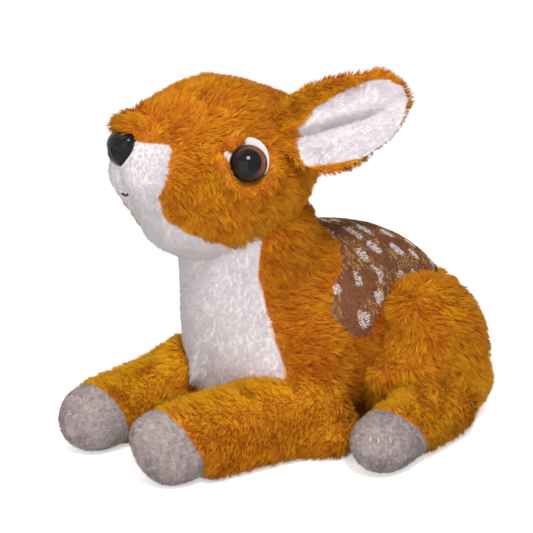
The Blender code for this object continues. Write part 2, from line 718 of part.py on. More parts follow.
def make_head(shop, head_pivot, tools):
    head = shop.piece("head", head_form("head"), "orange_plush", head_pivot)
    half = HEAD_WIDTH / 2 + OVERRUN
    muzzle = shop.piece("muzzle", head_form("muzzle"), "white_plush", head_pivot)
    shape = prism("muzzle_shape", muzzle_outline(), -half, half)
    cut(muzzle, shop.cutter("muzzle_shape", shape, head_pivot), "INTERSECT")
    pocket = prism("muzzle_pocket", grown(muzzle_outline(), SEAM_GAP), -half, half)
    cut(head, shop.cutter("muzzle_pocket", pocket, head_pivot))
    room = shop.cutter("head_room", head_form("head_room", HEAD_WALL), head_pivot)
    low = Vector((-half, -MUZZLE_BACK + HEAD_WALL / 2, -CHEEK_HEM / 2))
    room_front = block("room_front", low, (half, half, half))
    cut(room, shop.cutter("room_front", room_front, head_pivot), "INTERSECT")
    settle(room)
    filling = shop.piece("head_filling", head_form("head_filling", HEAD_WALL + SEAM_GAP),
                         "fibre_fill", head_pivot)
    low += Vector((0, SEAM_GAP, SEAM_GAP))
    filling_front = block("filling_front", low, (half, half, half))
    cut(filling, shop.cutter("filling_front", filling_front, head_pivot), "INTERSECT")
    cut(head, room)
    for piece in (head, muzzle, filling):
        cut(piece, tools["below_head"])
    make_eyes(shop, head_pivot, head, filling)
    make_nose(shop, head_pivot, (head, muzzle))
    make_mouth(shop, head_pivot)
    return head, muzzle, filling


def on_head(across, up):
    """The point of the head's front, at a place across and up, in the head's frame."""
    place = np.linspace(0.5, 1, 400)[:-1]
    middle, reach = (HEAD_NAPE - HEAD_NOSE) / 2, (HEAD_NAPE + HEAD_NOSE) / 2
    swell = np.sin(np.pi * place)
    wide = HEAD_WIDTH / 2 * swell * eased(HEAD_WIDE_SHARES, place)
    tall = HEAD_HEIGHT / 2 * swell * eased(HEAD_TALL_SHARES, place)
    centre = HEAD_HEIGHT * eased(HEAD_CENTRE_SHARES, place)
    inside = (across / wide) ** 2 + ((up - centre) / tall) ** 2 < 1
    last = np.flatnonzero(inside)[-1]
    return Vector((across, middle + reach * math.cos(math.pi * place[last]), up))


def make_mouth(shop, head_pivot):
    """A short line of dark thread across the front of the muzzle, under the nose."""
    steps = np.linspace(-1, 1, 9)
    data = bpy.data.curves.new("mouth_thread", "CURVE")
    data.dimensions = "3D"
    data.bevel_depth = STITCH_RADIUS
    data.bevel_resolution = 1
    data.use_fill_caps = True
    line = data.splines.new("POLY")
    line.points.add(len(steps) - 1)
    lift = STITCH_RADIUS + SEAM_GAP
    for point, step in zip(line.points, steps):
        place = on_head(step * MOUTH_HALF, MOUTH_HEIGHT + MOUTH_HALF * MOUTH_CURVE * step ** 2)
        point.co = (place.x, place.y - lift, place.z - lift * 0.8, 1)
    curve = bpy.data.objects.new("mouth_curve", data)
    bpy.context.scene.collection.objects.link(curve)
    mesh = settled_mesh(curve)
    bpy.data.objects.remove(curve)
    work = bmesh.new()
    work.from_mesh(mesh)
    bmesh.ops.remove_doubles(work, verts=work.verts, dist=WELD)
    bmesh.ops.recalc_face_normals(work, faces=work.faces)
    work.to_mesh(mesh)
    work.free()
    shop.piece("mouth_thread", mesh, "dark_thread", head_pivot)


def ear_frame(side):
    """The turn of an ear: its length along X, its hollow along Z, mirrored on the right."""
    sign = SIDES[side]
    along, hollow = (Vector((sign * shares[side][0], *shares[side][1:]))
                     for shares in (EAR_ALONG_SHARES, EAR_HOLLOW_SHARES))
    along.normalize()
    hollow = (hollow - along * hollow.dot(along)).normalized()
    across = hollow.cross(along)
    return Matrix((along, across, hollow)).transposed()


def ear_shell(name, low, high, margin):
    """A cupped leaf between two depths below its face, narrower by a margin all round."""
    rows = 10
    place = np.linspace(0.02, 0.985, rows)
    wide = (EAR_WIDTH / 2) * eased(EAR_WIDE_SHARES, place)
    room = np.clip(wide - margin, wide * 0.35, None)
    along = EAR_BALL * 0.7 + (EAR_LENGTH - EAR_BALL * 0.7 - margin) * place
    curl = EAR_HOLLOW * eased(EAR_CURL_SHARES, place)
    step = np.linspace(-1, 1, 9)
    bow = step ** 2
    upper = np.stack([np.repeat(along[:, None], 9, 1), room[:, None] * step,
                      curl[:, None] * bow - high], 2)
    lower = np.stack([np.repeat(along[:, None], 9, 1), room[:, None] * step,
                      curl[:, None] * bow - low], 2)
    rings = np.concatenate([upper, lower[:, ::-1]], 1)
    return skin(name, rings)


def make_ears(shop, head_pivot, head, filling):
    """Each ear is a cupped back with a white lining in it, on a stuffed root."""
    clear = shop.cutter("ear_clear", head_form("ear_clear", -EAR_CLEAR), head_pivot)
    for side, sign in SIDES.items():
        root = Vector((sign * EAR_OUT, EAR_BACK, EAR_UP))
        pivot = shop.pivot("ear_root_" + side, root, ear_frame(side), head_pivot)
        back = ear_shell("ear_" + side, EAR_LINING + SEAM_GAP + EAR_SHELL, EAR_LINING + SEAM_GAP, 0)
        ear = shop.piece("ear_" + side, back, "orange_plush", pivot)
        cut(ear, clear)
        cut(ear, ball_cutter(shop, "ear_ball_" + side, EAR_BALL, pivot), "UNION")
        lining = ear_shell("ear_lining_" + side, EAR_LINING, 0, EAR_RIM)
        lining = shop.piece("ear_lining_" + side, lining, "white_plush", pivot)
        cut(lining, clear)
        cut(lining, ball_cutter(shop, "ear_root_clear_" + side, EAR_BALL + SEAM_GAP, pivot))
        socket = ball_cutter(shop, "ear_socket_" + side, EAR_BALL + BALL_PLAY, pivot)
        cut(head, socket)
        cut(filling, socket)


def limb_rings(name, length, width, height, taper, heel=0):
    """A limb lying along -Y, flat where the hoof joins it, with a flat back or a round heel."""
    place = np.linspace(0, 1, 7)
    along = -length * place
    narrow = 1 + (taper - 1) * place
    drawn = np.ones(len(place))
    if heel:
        turn = np.linspace(0.2, 1, 4) * QUARTER_TURN
        along = np.concatenate([heel * np.cos(turn[:-1]), along])
        drawn = np.concatenate([np.sin(turn[:-1]), drawn])
        narrow = np.concatenate([np.ones(len(turn) - 1), narrow])
    middle = (height + FLOOR_CUT) / 2 * narrow
    round_ = np.arange(LIMB_SIDES) * 2 * np.pi / LIMB_SIDES
    rings = np.stack([
        (width / 2 * narrow * drawn)[:, None] * np.cos(round_),
        np.repeat(along[:, None], LIMB_SIDES, 1),
        (middle - FLOOR_CUT)[:, None] + (middle * drawn)[:, None] * np.sin(round_),
    ], 2)
    return skin(name, rings, (0, heel, middle[0] - FLOOR_CUT) if heel else None)


def hoof_form(name, back, length, width, height):
    """A blunt hoof, flat where the leg joins it, swelling to a rounded tip."""
    place = np.linspace(0, 0.96, 8)
    along = back - length * place
    swell = (1 - place ** 3.2) ** 0.5 * (1 + 0.08 * np.sin(np.pi * place))
    wide = width / 2 * swell
    tall = (height + FLOOR_CUT) / 2 * swell
    round_ = np.arange(LIMB_SIDES) * 2 * np.pi / LIMB_SIDES
    middle = height / 2 - FLOOR_CUT / 2 - (1 - swell) * height * 0.1
    rings = np.stack([
        wide[:, None] * np.cos(round_),
        np.repeat(along[:, None], LIMB_SIDES, 1),
        middle[:, None] + tall[:, None] * np.sin(round_),
    ], 2)
    return skin(name, rings, None, (0, back - length, height * 0.42))


def shoulder_profile(play):
    """A barrel on a vertical axis, with a domed top."""
    radius, top = SHOULDER_RADIUS + play, SHOULDER_HEIGHT + play
    dome = [(radius * math.sin(a), top - radius * 0.55 * (1 - math.cos(a)))
            for a in np.linspace(0, QUARTER_TURN, 7)]
    foot = -play if play else 0
    return [*dome, (radius, top * 0.12), (radius * 0.82, foot), (0, foot)]


def thigh_profile(play):
    """A dome along the hip's axis, as (radius, height) points, outside first."""
    reach = HIP_OUTER - HIP_INNER
    points = []
    for out, wide in THIGH_SHARES:
        radius = THIGH_RADIUS * wide + (play if wide else 0)
        extra = play if out > 0.5 else -play if out < 0.01 else 0
        points.append((radius, HIP_INNER + reach * out + extra))
    return points


def side_turn(side):
    """Turns a shape made round Z so that its axis points out to a side."""
    return Matrix.Rotation(SIDES[side] * QUARTER_TURN, 4, "Y")


def make_front_leg(shop, side, pivot, tools):
    name = "front_leg_" + side
    floor = tools["floor"]
    shape = limb_rings(name, FRONT_LEG_LENGTH, FRONT_LEG_WIDTH, FRONT_LEG_HEIGHT, FRONT_TAPER)
    leg = shop.piece(name, shape, "orange_plush", pivot)
    root = shop.cutter(name + "_root", turned(name + "_root", shoulder_profile(0)), pivot)
    cut(leg, root, "UNION")
    cut(leg, floor)
    hoof_name = "front_hoof_" + side
    hoof = hoof_form(hoof_name, -FRONT_LEG_LENGTH - SEAM_GAP, FRONT_HOOF_LENGTH,
                     FRONT_LEG_WIDTH * FRONT_TAPER, FRONT_LEG_HEIGHT * FRONT_TAPER)
    cut(shop.piece(hoof_name, hoof, "grey_plush", pivot), floor)


def make_hind_leg(shop, side, pivot, tools):
    sign = SIDES[side]
    floor = tools["floor"]
    name = "thigh_" + side
    thigh = placed(turned(name, thigh_profile(0)), side_turn(side))
    thigh.transform(Matrix.Translation((-sign * HIP_OUTER, 0, 0)))
    thigh = shop.piece(name, thigh, "orange_plush", pivot)

    lie = shop.pivot("hock_" + side, Vector((sign * (HOCK_OUT - HIP_OUTER), HOCK_BACK - HIP_BACK,
                                             -HIP_HEIGHT)),
                     Matrix.Rotation(sign * HIND_REST_TURN[side], 3, "Z"), pivot)
    name = "hind_leg_" + side
    shape = limb_rings(name, HIND_LEG_LENGTH, HIND_LEG_WIDTH, HIND_LEG_HEIGHT, HIND_TAPER, HEEL_LENGTH)
    leg = shop.piece(name, shape, "orange_plush", lie)
    clear = placed(turned("thigh_clear_" + side, thigh_profile(SEAM_GAP)), side_turn(side))
    clear.transform(Matrix.Translation((-sign * HIP_OUTER, 0, 0)))
    cut(leg, shop.cutter("thigh_clear_" + side, clear, pivot))
    cut(leg, floor)
    hoof_name = "hind_hoof_" + side
    hoof = hoof_form(hoof_name, -HIND_LEG_LENGTH - SEAM_GAP, HIND_HOOF_LENGTH,
                     HIND_LEG_WIDTH * 0.98, HIND_LEG_HEIGHT * 0.95)
    cut(shop.piece(hoof_name, hoof, "grey_plush", lie), floor)


def make_tail(shop, pivot):
    """A short flat tail, round at its root and pointed at its end."""
    place = np.linspace(0.06, 0.97, 8)
    wide = TAIL_WIDTH / 2 * np.sin(np.pi * place ** 0.75) ** 0.6
    round_ = np.arange(16) * 2 * np.pi / 16
    rings = np.stack([
        wide[:, None] * np.cos(round_),
        wide[:, None] * 0.62 * np.sin(round_),
        -np.repeat((TAIL_LENGTH * place)[:, None], 16, 1),
    ], 2)
    tail = skin("tail", rings, (0, 0, 0), (0, 0, -TAIL_LENGTH))
    tail = shop.piece("tail", tail, "orange_plush", pivot)
    cut(tail, ball_cutter(shop, "tail_ball", TAIL_BALL, pivot), "UNION")


def make_pivots(shop):
    """The empties on the joints' axes."""
    middle = ball_middle()
    head_turn = (Matrix.Rotation(-HEAD_TURN, 3, "Z") @ Matrix.Rotation(-HEAD_LIFT, 3, "X")
                 @ Matrix.Rotation(-HEAD_TIP, 3, "Y"))
    pivots = {
        "neck": shop.pivot("neck_pivot", middle, neck_axis()),
        "head": shop.pivot("head_pivot", middle, head_turn),
        "tail": shop.pivot("tail_pivot", Vector((0, TAIL_BACK, TAIL_HEIGHT)),
                           Matrix.Rotation(TAIL_DROOP, 3, "X")),
    }
    for side, sign in SIDES.items():
        shoulder = Vector((sign * SHOULDER_OUT, SHOULDER_BACK - FRONT_REACH[side], 0))
        turn = Matrix.Rotation(-sign * FRONT_REST_TURN[side], 3, "Z")
        pivots["front_" + side] = shop.pivot("shoulder_pivot_" + side, shoulder, turn)
        hip = Vector((sign * HIP_OUTER, HIP_BACK + HIP_DRAWN_BACK[side], HIP_HEIGHT))
        pivots["hind_" + side] = shop.pivot("hip_pivot_" + side, hip)
    return pivots


def swing_fan(name, side):
    """The room that a front leg sweeps, between its inner and outer limits."""
    reach = FRONT_LEG_LENGTH + FRONT_HOOF_LENGTH
    half = FRONT_LEG_WIDTH / 2 + JOINT_PLAY
    sign = SIDES[side]
    inner, outer = -FRONT_SWING_IN * sign, FRONT_SWING_OUT * sign
    corners = []
    for turn, edge in ((inner, -sign), (outer, sign)):
        forward = Vector((math.sin(turn), -math.cos(turn)))
        across = Vector((math.cos(turn), math.sin(turn))) * edge
        near, far = across * half, across * half + forward * reach
        corners.append((near, far))
    outline = [corners[0][0], corners[0][1], corners[1][1], corners[1][0]]
    top = FRONT_LEG_HEIGHT + JOINT_PLAY
    rings = np.array([[(point.x, point.y, end) for point in outline] for end in (-OVERRUN, top)])
    return skin(name, rings)


def make_tools(shop, pivots):
    """The cutters that more than one piece shares."""
    tools = {
        "above_neck": shop.cutter("above_neck", above_neck("above_neck", BODY_RIM), pivots["neck"]),
        "below_head": shop.cutter("below_head", below_head("below_head", HEAD_RIM), pivots["neck"]),
    }
    far = OVERRUN * 4
    tools["floor"] = shop.cutter("floor", block("floor", (-far, -far, -far), (far, far, 0)))
    tools["tail"] = ball_cutter(shop, "tail_socket", TAIL_BALL + BALL_PLAY, pivots["tail"])
    for side, sign in SIDES.items():
        name = "shoulder_" + side
        barrel = turned(name, shoulder_profile(JOINT_PLAY))
        tools[name] = shop.cutter(name, barrel, pivots["front_" + side])
        name = "swing_" + side
        tools[name] = shop.cutter(name, swing_fan(name, side), pivots["front_" + side])
        name = "hip_" + side
        hip = placed(turned(name, thigh_profile(JOINT_PLAY)), side_turn(side))
        hip.transform(Matrix.Translation((-sign * HIP_OUTER, 0, 0)))
        tools[name] = shop.cutter(name, hip, pivots["hind_" + side])
    return tools


def main():
    clear_scene()
    shop = Workshop()
    pivots = make_pivots(shop)
    tools = make_tools(shop, pivots)
    make_torso(shop, tools)
    shop.piece("neck", ball("neck", NECK_BALL), "orange_plush", pivots["neck"])
    head, muzzle, filling = make_head(shop, pivots["head"], tools)
    make_ears(shop, pivots["head"], head, filling)
    for side in SIDES:
        make_front_leg(shop, side, pivots["front_" + side], tools)
        make_hind_leg(shop, side, pivots["hind_" + side], tools)
    make_tail(shop, pivots["tail"])


main()
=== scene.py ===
"""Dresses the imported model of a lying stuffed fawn: pile on stuffed skins, moulded eyes and nose.

The fawn looks along -Y with its left side at +X and stands on Z = 0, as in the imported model.
A skin is a closed grid of points. Pile is sown on it, one small closed spike for each lock.
"""
import math

import bpy
import numpy as np
from bpy.props import FloatProperty, FloatVectorProperty, IntProperty, PointerProperty
from mathutils import Matrix, Vector


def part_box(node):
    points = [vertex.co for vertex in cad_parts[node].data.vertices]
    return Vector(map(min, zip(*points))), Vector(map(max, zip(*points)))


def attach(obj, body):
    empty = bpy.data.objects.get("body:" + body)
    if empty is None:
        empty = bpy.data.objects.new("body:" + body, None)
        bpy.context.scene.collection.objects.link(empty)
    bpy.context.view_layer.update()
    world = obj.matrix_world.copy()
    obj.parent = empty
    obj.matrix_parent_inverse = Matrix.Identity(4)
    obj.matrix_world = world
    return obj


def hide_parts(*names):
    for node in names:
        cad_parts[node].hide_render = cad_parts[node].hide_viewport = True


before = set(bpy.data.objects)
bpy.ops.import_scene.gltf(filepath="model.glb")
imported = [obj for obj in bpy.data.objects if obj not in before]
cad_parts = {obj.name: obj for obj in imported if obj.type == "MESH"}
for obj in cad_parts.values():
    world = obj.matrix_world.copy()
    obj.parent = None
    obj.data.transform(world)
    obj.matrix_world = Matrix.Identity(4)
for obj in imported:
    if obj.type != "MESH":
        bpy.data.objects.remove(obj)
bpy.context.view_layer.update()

bl_info = {
    "name": "Lying Fawn Soft Toy",
    "version": (1, 0, 0),
    "blender": (4, 5, 0),
    "location": "View3D > Sidebar > Fawn",
    "description": "Builds the plush, the eyes and the nose of a lying stuffed fawn",
    "category": "Object",
}

MM = 0.001
DEG = math.pi / 180
SIDES = {"left": 1, "right": -1}

# The sewn forms, in metres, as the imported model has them
BODY_ENDS = (93 * MM, -42 * MM)
BODY_SIZE = (88 * MM, 85 * MM)
BODY_CENTRE = (0.43, 0.43, 0.42, 0.435, 0.46, 0.485, 0.489, 0.447, 0.38, 0.353, 0.353)
BODY_TALL = (1.3, 1.22, 1.11, 1.03, 1.0, 1.02, 1.07, 1.115, 1.18, 1.37, 1.5)
BODY_WIDE = (1.25, 1.15, 1.08, 1.0, 0.97, 1.0, 1.05, 1.07, 1.0, 0.95, 0.9)
BELLY_SQUARE = 0.55
BODY_SHOULDER = ((24 * MM, -6 * MM, 24 * MM), (19 * MM, 20 * MM, 26 * MM))
BODY_BLEND = 12 * MM
WITHERS = (26 * MM, 97 * MM)
NECK_FOOT, NECK_TOP = 15 * MM, 106 * MM
NECK_SIZE = (60 * MM, 63 * MM)
NECK_LEAN = 16 * MM
NECK_PLACE = (0.62, 0.69, 0.8, 0.86, 0.95, 1.1, 1.3)
NECK_WIDE = (0.8, 0.93, 0.99, 0.98, 0.98, 1.02, 1.06)
NECK_DEEP = (0.76, 0.95, 1.02, 1.02, 0.98, 0.98, 1.02)
NECK_DOME, NECK_DOME_TALL = 90 * MM, 18 * MM
NECK_MIDDLE = (0, -19 * MM, 98 * MM)
NECK_BALL = 29 * MM
HEAD_ENDS = (27 * MM, -63 * MM)
HEAD_SIZE = (74 * MM, 77 * MM)
HEAD_CENTRE = (0.38, 0.375, 0.31, 0.25, 0.22, 0.205, 0.214, 0.239, 0.254, 0.26, 0.265)
HEAD_TALL = (1.45, 1.33, 1.15, 1.07, 1.01, 0.995, 0.955, 0.87, 0.825, 0.93, 1.0)
HEAD_WIDE = (1.6, 1.49, 1.24, 1.12, 1.037, 1.0, 0.88, 0.735, 0.71, 0.83, 0.9)
HEAD_TURNS = (("Z", -6 * DEG), ("X", -15 * DEG), ("Y", -8 * DEG))
MUZZLE_BACK, MUZZLE_TOP, CHEEK_HEM = 48 * MM, 22 * MM, 17 * MM
CHEEK_HEM_SHARES = ((1.0, 0.06), (0.96, -0.05), (0.885, -0.38), (0.76, -0.6), (0.54, -0.76),
                    (0.27, -0.9), (0.0, -1.0))
SADDLE_SHARES = ((0.22, 1.15), (0.22, 0.95), (0.145, 0.88), (0.05, 0.79), (0.0, 0.69), (0.06, 0.61),
                 (0.13, 0.559), (0.185, 0.559), (0.29, 0.68), (0.44, 0.74), (0.7, 0.7), (0.92, 0.6),
                 (1.1, 0.55), (1.1, 1.15))
SADDLE_FRONT, SADDLE_REACH = -1.4 * MM, 94.4 * MM
BIB_SHARES = ((1.27, 1.3), (1.27, 0.81), (1.1, 0.64), (1.02, 0.48), (1.0, 0.38), (1.09, 0.3),
              (1.45, 0.26), (5.0, 0.26), (5.0, 1.3))
BIB_BACK, BIB_TOP = 22 * MM, 96 * MM
EYE_SEAT = (35 * MM, -22 * MM, 19.5 * MM)
EYE_TURN, EYE_LOOK_UP = 27 * DEG, 9 * DEG
EYE_RADIUS, EYE_DOME = 7.6 * MM, 5 * MM
FELT_SIZE = (16.5 * MM, 19 * MM)
FELT_SHIFT = 1.2 * MM
NOSE_SEAT = (0, -58.5 * MM, 19 * MM)
NOSE_SIZE = (15 * MM, 15.5 * MM)
NOSE_DOME = 7 * MM
EAR_ROOT = (32 * MM, -4 * MM, 34 * MM)
EAR_SIZE = (51 * MM, 39 * MM)
EAR_HOLLOW = 10 * MM
EAR_THICK = 5.3 * MM
EAR_EDGES = {"left": ((5, 11.0, 13.3, 14.3, 15.4, 15.2, 14.0, 13.3, 11.2, 3.0),
                      (5, 12.0, 17.4, 19.6, 19.4, 18.2, 16.4, 14.0, 9.6, 2.0)),
             "right": ((6, 16.5, 19.5, 19.3, 18.0, 17.2, 16.3, 14.6, 10.6, 3.0),
                       (5, 12.0, 17.0, 18.0, 18.0, 17.5, 16.0, 14.0, 10.0, 2.0))}
LINING = ((2.4, -3.3), (4.3, 0.3), (13.8, 6.4), (28.6, 9.7), (37.6, 10.7), (44.3, 9.1), (50.0, 4.2),
          (50.4, -1.1), (46.2, -8.2), (39.4, -14.5), (29.0, -17.6), (22.5, -17.4), (12.1, -17.0),
          (3.9, -14.3), (2.6, -11.0))
EAR_CURLED = {"left": 1.0, "right": 0.4}
EAR_CURL = (0.3, 0.75, 1.05, 1.05, 0.95, 0.8, 0.65, 0.45, 0.25, 0.1)
EAR_ALONG = {"left": (0.57, 0.68, 0.41), "right": (0.95, 0.3, 0.2)}
EAR_FACING = {"left": (0.72, -0.66, -0.1), "right": (0.3, -0.92, 0.3)}
SHOULDER = (31 * MM, -6 * MM)
SHOULDER_RADIUS, SHOULDER_HEIGHT = 18 * MM, 36 * MM
FRONT_LEG = (61 * MM, 36.5 * MM)
FRONT_TALL = {"left": 36 * MM, "right": 32.5 * MM}
FRONT_HOOF = 23.8 * MM
FRONT_TAPER = 0.93
FRONT_HOOF_SHARES, HIND_HOOF_SHARES, HOOF_INSET = (0.85, 0.87), (0.98, 0.88), 1.3 * MM
FRONT_LIFT = {"left": 0.28, "right": -0.06}
FRONT_SEAM = {"left": (-55.7 * MM, -0.52), "right": (-59.3 * MM, -0.383)}
HIND_SEAM = (-25.5 * MM, -0.76)
SOLE_SQUARE, SOLE_FLAT = 0.4, 3.4
ROOT_OVERRUN = 4 * MM
BARREL_HEIGHT_SHARE, BARREL_TALL_SHARE = 0.4, 0.62
ELBOW = ((10 * MM, 1 * MM, 9 * MM), (14 * MM, 13 * MM, 9.5 * MM))
FAR_FOREARM = ((9 * MM, -22 * MM, 21 * MM), (15 * MM, 20 * MM, 18 * MM))
ELBOW_BLEND, LEG_BLEND = 6 * MM, 10 * MM
FRONT_TURN = {"left": 3 * DEG, "right": 8 * DEG}
FRONT_REACH = {"left": 0 * MM, "right": 4 * MM}
HIP = (65 * MM, 50 * MM, 35 * MM)
HIP_INNER = 26 * MM
THIGH_RADIUS = 34 * MM
THIGH_OUT = (1.0, 0.985, 0.93, 0.83, 0.68, 0.5, 0.3, 0.12, 0.0, 0.0)
THIGH_ROUND = (0.0, 0.3, 0.56, 0.77, 0.92, 1.0, 1.0, 0.9, 0.64, 0.0)
THIGH_SAGS = ((-53, 0.1, 0.27), (18, 0.2, -0.1), (30, 0.6, -0.05), (158, 0.06, -0.2), (203, 0.08, 0.15))
HOCK = (59 * MM, 46 * MM)
HIND_LEG = (34 * MM, 28 * MM, 29 * MM)
HIND_HOOF = 28 * MM
# Base tones of the forelegs' orange pile: the far leg's is lighter than the near one's, painted light.
FRONT_TONE = {"left": 0.45, "right": 0.58}
STITCHES, STITCH_UP = (-1 * MM, 1.8 * MM, 5.4 * MM), 18 * MM
STITCH_LONG, STITCH_RADIUS = 2.5 * MM, 0.4 * MM
HIND_TAPER = 0.96
HEEL = 14 * MM
HIND_TURN = {"left": 19 * DEG, "right": 1 * DEG}
HIP_DRAWN_BACK = {"left": 0 * MM, "right": 9 * MM}
TAIL_ROOT = (0, 92 * MM, 48 * MM)
TAIL_SIZE = (27 * MM, 15 * MM)
TAIL_DROOP = 52 * DEG
GROUND = 0.3 * MM
UNSEEN, UNCOVERED = 3.5 * MM, 14 * MM

# The spread of the pile from lock to lock, its clumps and its strays
LENGTH_SPREAD, LEAN_SPREAD, LEAN_BOW = (0.72, 1.12), (0.7, 1.15), (0.55, 1.3)
CLUMP_LOCKS, STRAY_SIZE, STRAY_SCATTER, ROOT_DEPTH = 16, 14 * MM, 0.45, 0.5 * MM
PANEL_GAP = 0.2 * MM

# Bulges of the skins, each a place, a size and a height in millimetres, the same on both sides
BODY_BULGES = (((0, 56, 82), (42, 34, 24), 3.8), ((12, 12, 104), (16, 12, 14), 3.0))
HEAD_BULGES = (((31, -22, -2), (12, 15, 10), 1.6), ((24, -22, 38), (10, 14, 9), 1.0),
               ((8, -57, 8), (6.5, 8, 6), 1.4), ((0, -55, 0), (12, 7, 8), 1.2),
               ((10, -54, 2), (9, 10, 14), 1.9), ((0, -45, 42), (26, 14, 11), -1.2),
               ((6, -16, 48), (16, 12, 10), 0.6), ((0, -60, 2.2), (5, 9, 3.4), -2.2),
               ((0, -40, -15), (22, 13, 10), 3.1), ((0, -58, 27), (11, 7, 4), 1.8),
               ((0, -58, 19), (10.5, 6, 10), -1.8))
FAR_CHEEK, FAR_CHEEK_SIZE, FAR_CHEEK_HEIGHT = (-13, -50, -4), (8, 9, 8), 2.4
GUSSET = ((19.4, -50.0, 22.5), (22.3, -43.5, 26.2), (27.5, -36.0, 27.0), (31.0, -31.0, 25.5))
GUSSET_WIDTH, GUSSET_DEPTH = 2.2 * MM, 1.8 * MM
TUFT = ((0, -57, 29), (13, 8, 6))

# The felt's crescent and corner round an eye, and how near the pile comes to eye, nose and mouth
CRESCENT, CORNER = ((18 * DEG, 42 * DEG), (118 * DEG, 92 * DEG)), (168 * DEG, 14 * DEG)
EYE_CLEAR, FELT_CLEAR, NOSE_CLEAR = 7.4 * MM, 3.0 * MM, 7.4 * MM
MOUTH_UP, MOUTH_CLEAR = 2.2 * MM, 0.9 * MM
EYE_OUT, FELT_OUT = 1.4 * MM, 0.7 * MM

# The saddle's print
SPOT_ROW, SPOT_COLUMN, SPOT_SCATTER = 11.2 * MM, 12 * MM, 1.7 * MM
SPOT_WIDE, SPOT_LONG, SPOT_TURN = (1.9, 2.8), (2.9, 4.2), (0.25, 0.3)
STREAK_GAP, STREAK_SHARE, STREAK_WAVE = 2.7 * MM, 0.17, 0.9 * MM
TRUNK_AXIS, TRUNK_RADIUS = 36 * MM, 42 * MM

# The stage, in metres, and the place that the camera looks at
CAMERA_TURN, CAMERA_RISE, CAMERA_AWAY, CAMERA_LENS = 52 * DEG, 17 * DEG, 0.8, 125.7
CAMERA_AIM, LAMP_AIM = (-3 * MM, -2 * MM, 70 * MM), (0, 0, 0.06)
LAMPS = (("key", (-0.2, -0.35, 0.9), 0.6), ("fill", (0.6, -0.8, 0.3), 0.8),
         ("spark", (0.58, -0.3, 0.78), 0.2))
FLOOR_HALF = 3.0


def panel(shares, start, scale):
    """A panel's outline from the side, as (Y, Z) points, from its shares of two lengths."""
    return [(start + along * scale[0], up * scale[1]) for along, up in shares]


SADDLE = panel(SADDLE_SHARES, SADDLE_FRONT, (SADDLE_REACH, BODY_SIZE[1]))
BIB = panel(BIB_SHARES, 0, (-BIB_BACK, BIB_TOP))
MUZZLE = [(-0.12, MUZZLE_TOP), (-MUZZLE_BACK, MUZZLE_TOP),
          *panel(CHEEK_HEM_SHARES, 0, (-MUZZLE_BACK, CHEEK_HEM)),
          (0.06, -CHEEK_HEM), (0.06, -0.06), (-0.12, -0.06)]


# Settings

def amount(name, description, value, **kind):
    return FloatProperty(name=name, description=description, default=value, **kind)


class FawnPile(bpy.types.PropertyGroup):
    """The pile's sizes."""
    length: amount("Long pile", "Length of a lock of the orange pile", 5.6 * MM, unit="LENGTH")
    short: amount("Short pile", "Length of the white, grey and printed pile", 2.6 * MM, unit="LENGTH")
    width: amount("Lock width", "Width of a lock of the orange pile at its root", 0.52 * MM, unit="LENGTH")
    fine: amount("Fine width", "Width of a lock of the short pile", 0.42 * MM, unit="LENGTH")
    per_area: amount("Long locks", "Locks of orange pile on a square millimetre", 4.0)
    short_per_area: amount("Short locks", "Locks of short pile on a square millimetre", 5.6)
    lean: amount("Lean", "How far the pile lies over from upright", 52 * DEG, subtype="ANGLE")
    stray: amount("Stray", "How far the locks stray from the lie of the pile", 0.5, subtype="FACTOR")
    inset: amount("Skin depth", "How deep the cloth lies under the pile's tips", 2.2 * MM, unit="LENGTH")
    seed: IntProperty(name="Seed", description="Chooses the places of the locks and of the spots", default=11)


def colour_property(name, description, value):
    return FloatVectorProperty(name=name, description=description, default=value, subtype="COLOR",
                               size=3, min=0, max=1)


class FawnColours(bpy.types.PropertyGroup):
    """The colours, as linear values."""
    # The pile's root colours are darker than its tips: painted shade, where the locks shade one another near
    # the cloth.
    orange_root: colour_property("Orange root", "Orange pile at the cloth", (0.38, 0.085, 0.003))
    orange: colour_property("Orange", "Orange pile half way up", (0.64, 0.205, 0.006))
    orange_tip: colour_property("Orange tip", "Orange pile at its tips", (0.80, 0.33, 0.02))
    white_root: colour_property("White root", "White pile at the cloth", (0.74, 0.68, 0.695))
    white: colour_property("White", "White pile at its tips", (0.85, 0.79, 0.81))
    grey_root: colour_property("Grey root", "Hoof pile at the cloth", (0.29, 0.235, 0.225))
    grey: colour_property("Grey", "Hoof pile at its tips", (0.52, 0.435, 0.42))
    brown: colour_property("Brown", "The saddle's ground", (0.20, 0.078, 0.034))
    tan: colour_property("Tan", "The saddle's streaks", (0.66, 0.36, 0.13))
    cream: colour_property("Cream", "The saddle's spots", (0.93, 0.84, 0.82))
    iris: colour_property("Iris", "The eye's coloured ring", (0.16, 0.062, 0.025))
    black: colour_property("Black", "The nose and the pupils", (0.008, 0.007, 0.007))


class FawnLight(bpy.types.PropertyGroup):
    """The stage's light."""
    world: amount("Soft light", "Strength of the light from all round", 0.55)
    key: amount("Key light", "Power of the large lamp overhead, in watts", 1.6)
    fill: amount("Fill light", "Power of the lamp beside the camera, in watts", 2.8)
    spark: amount("Catch light", "Power of the small lamp that the eyes mirror, in watts", 5.3)
    floor: amount("Floor white", "How white the floor shows of itself", 0.5, subtype="FACTOR")


def settings():
    scene = bpy.context.scene
    return scene.fawn_pile, scene.fawn_colours


# Numbers

def eased(shares, place):
    """Reads a table of evenly spaced values at places from 0 to 1, on a Catmull-Rom curve."""
    values = np.asarray(shares, float)
    last = len(values) - 1
    at = np.clip(np.asarray(place, float) * last, 0, last - 1e-9)
    low = at.astype(int)
    part = at - low
    before, here, after, later = (values[np.clip(low + k, 0, last)] for k in (-1, 0, 1, 2))
    return 0.5 * (2 * here + (after - before) * part
                  + (2 * before - 5 * here + 4 * after - later) * part ** 2
                  + (3 * here - before - 3 * after + later) * part ** 3)


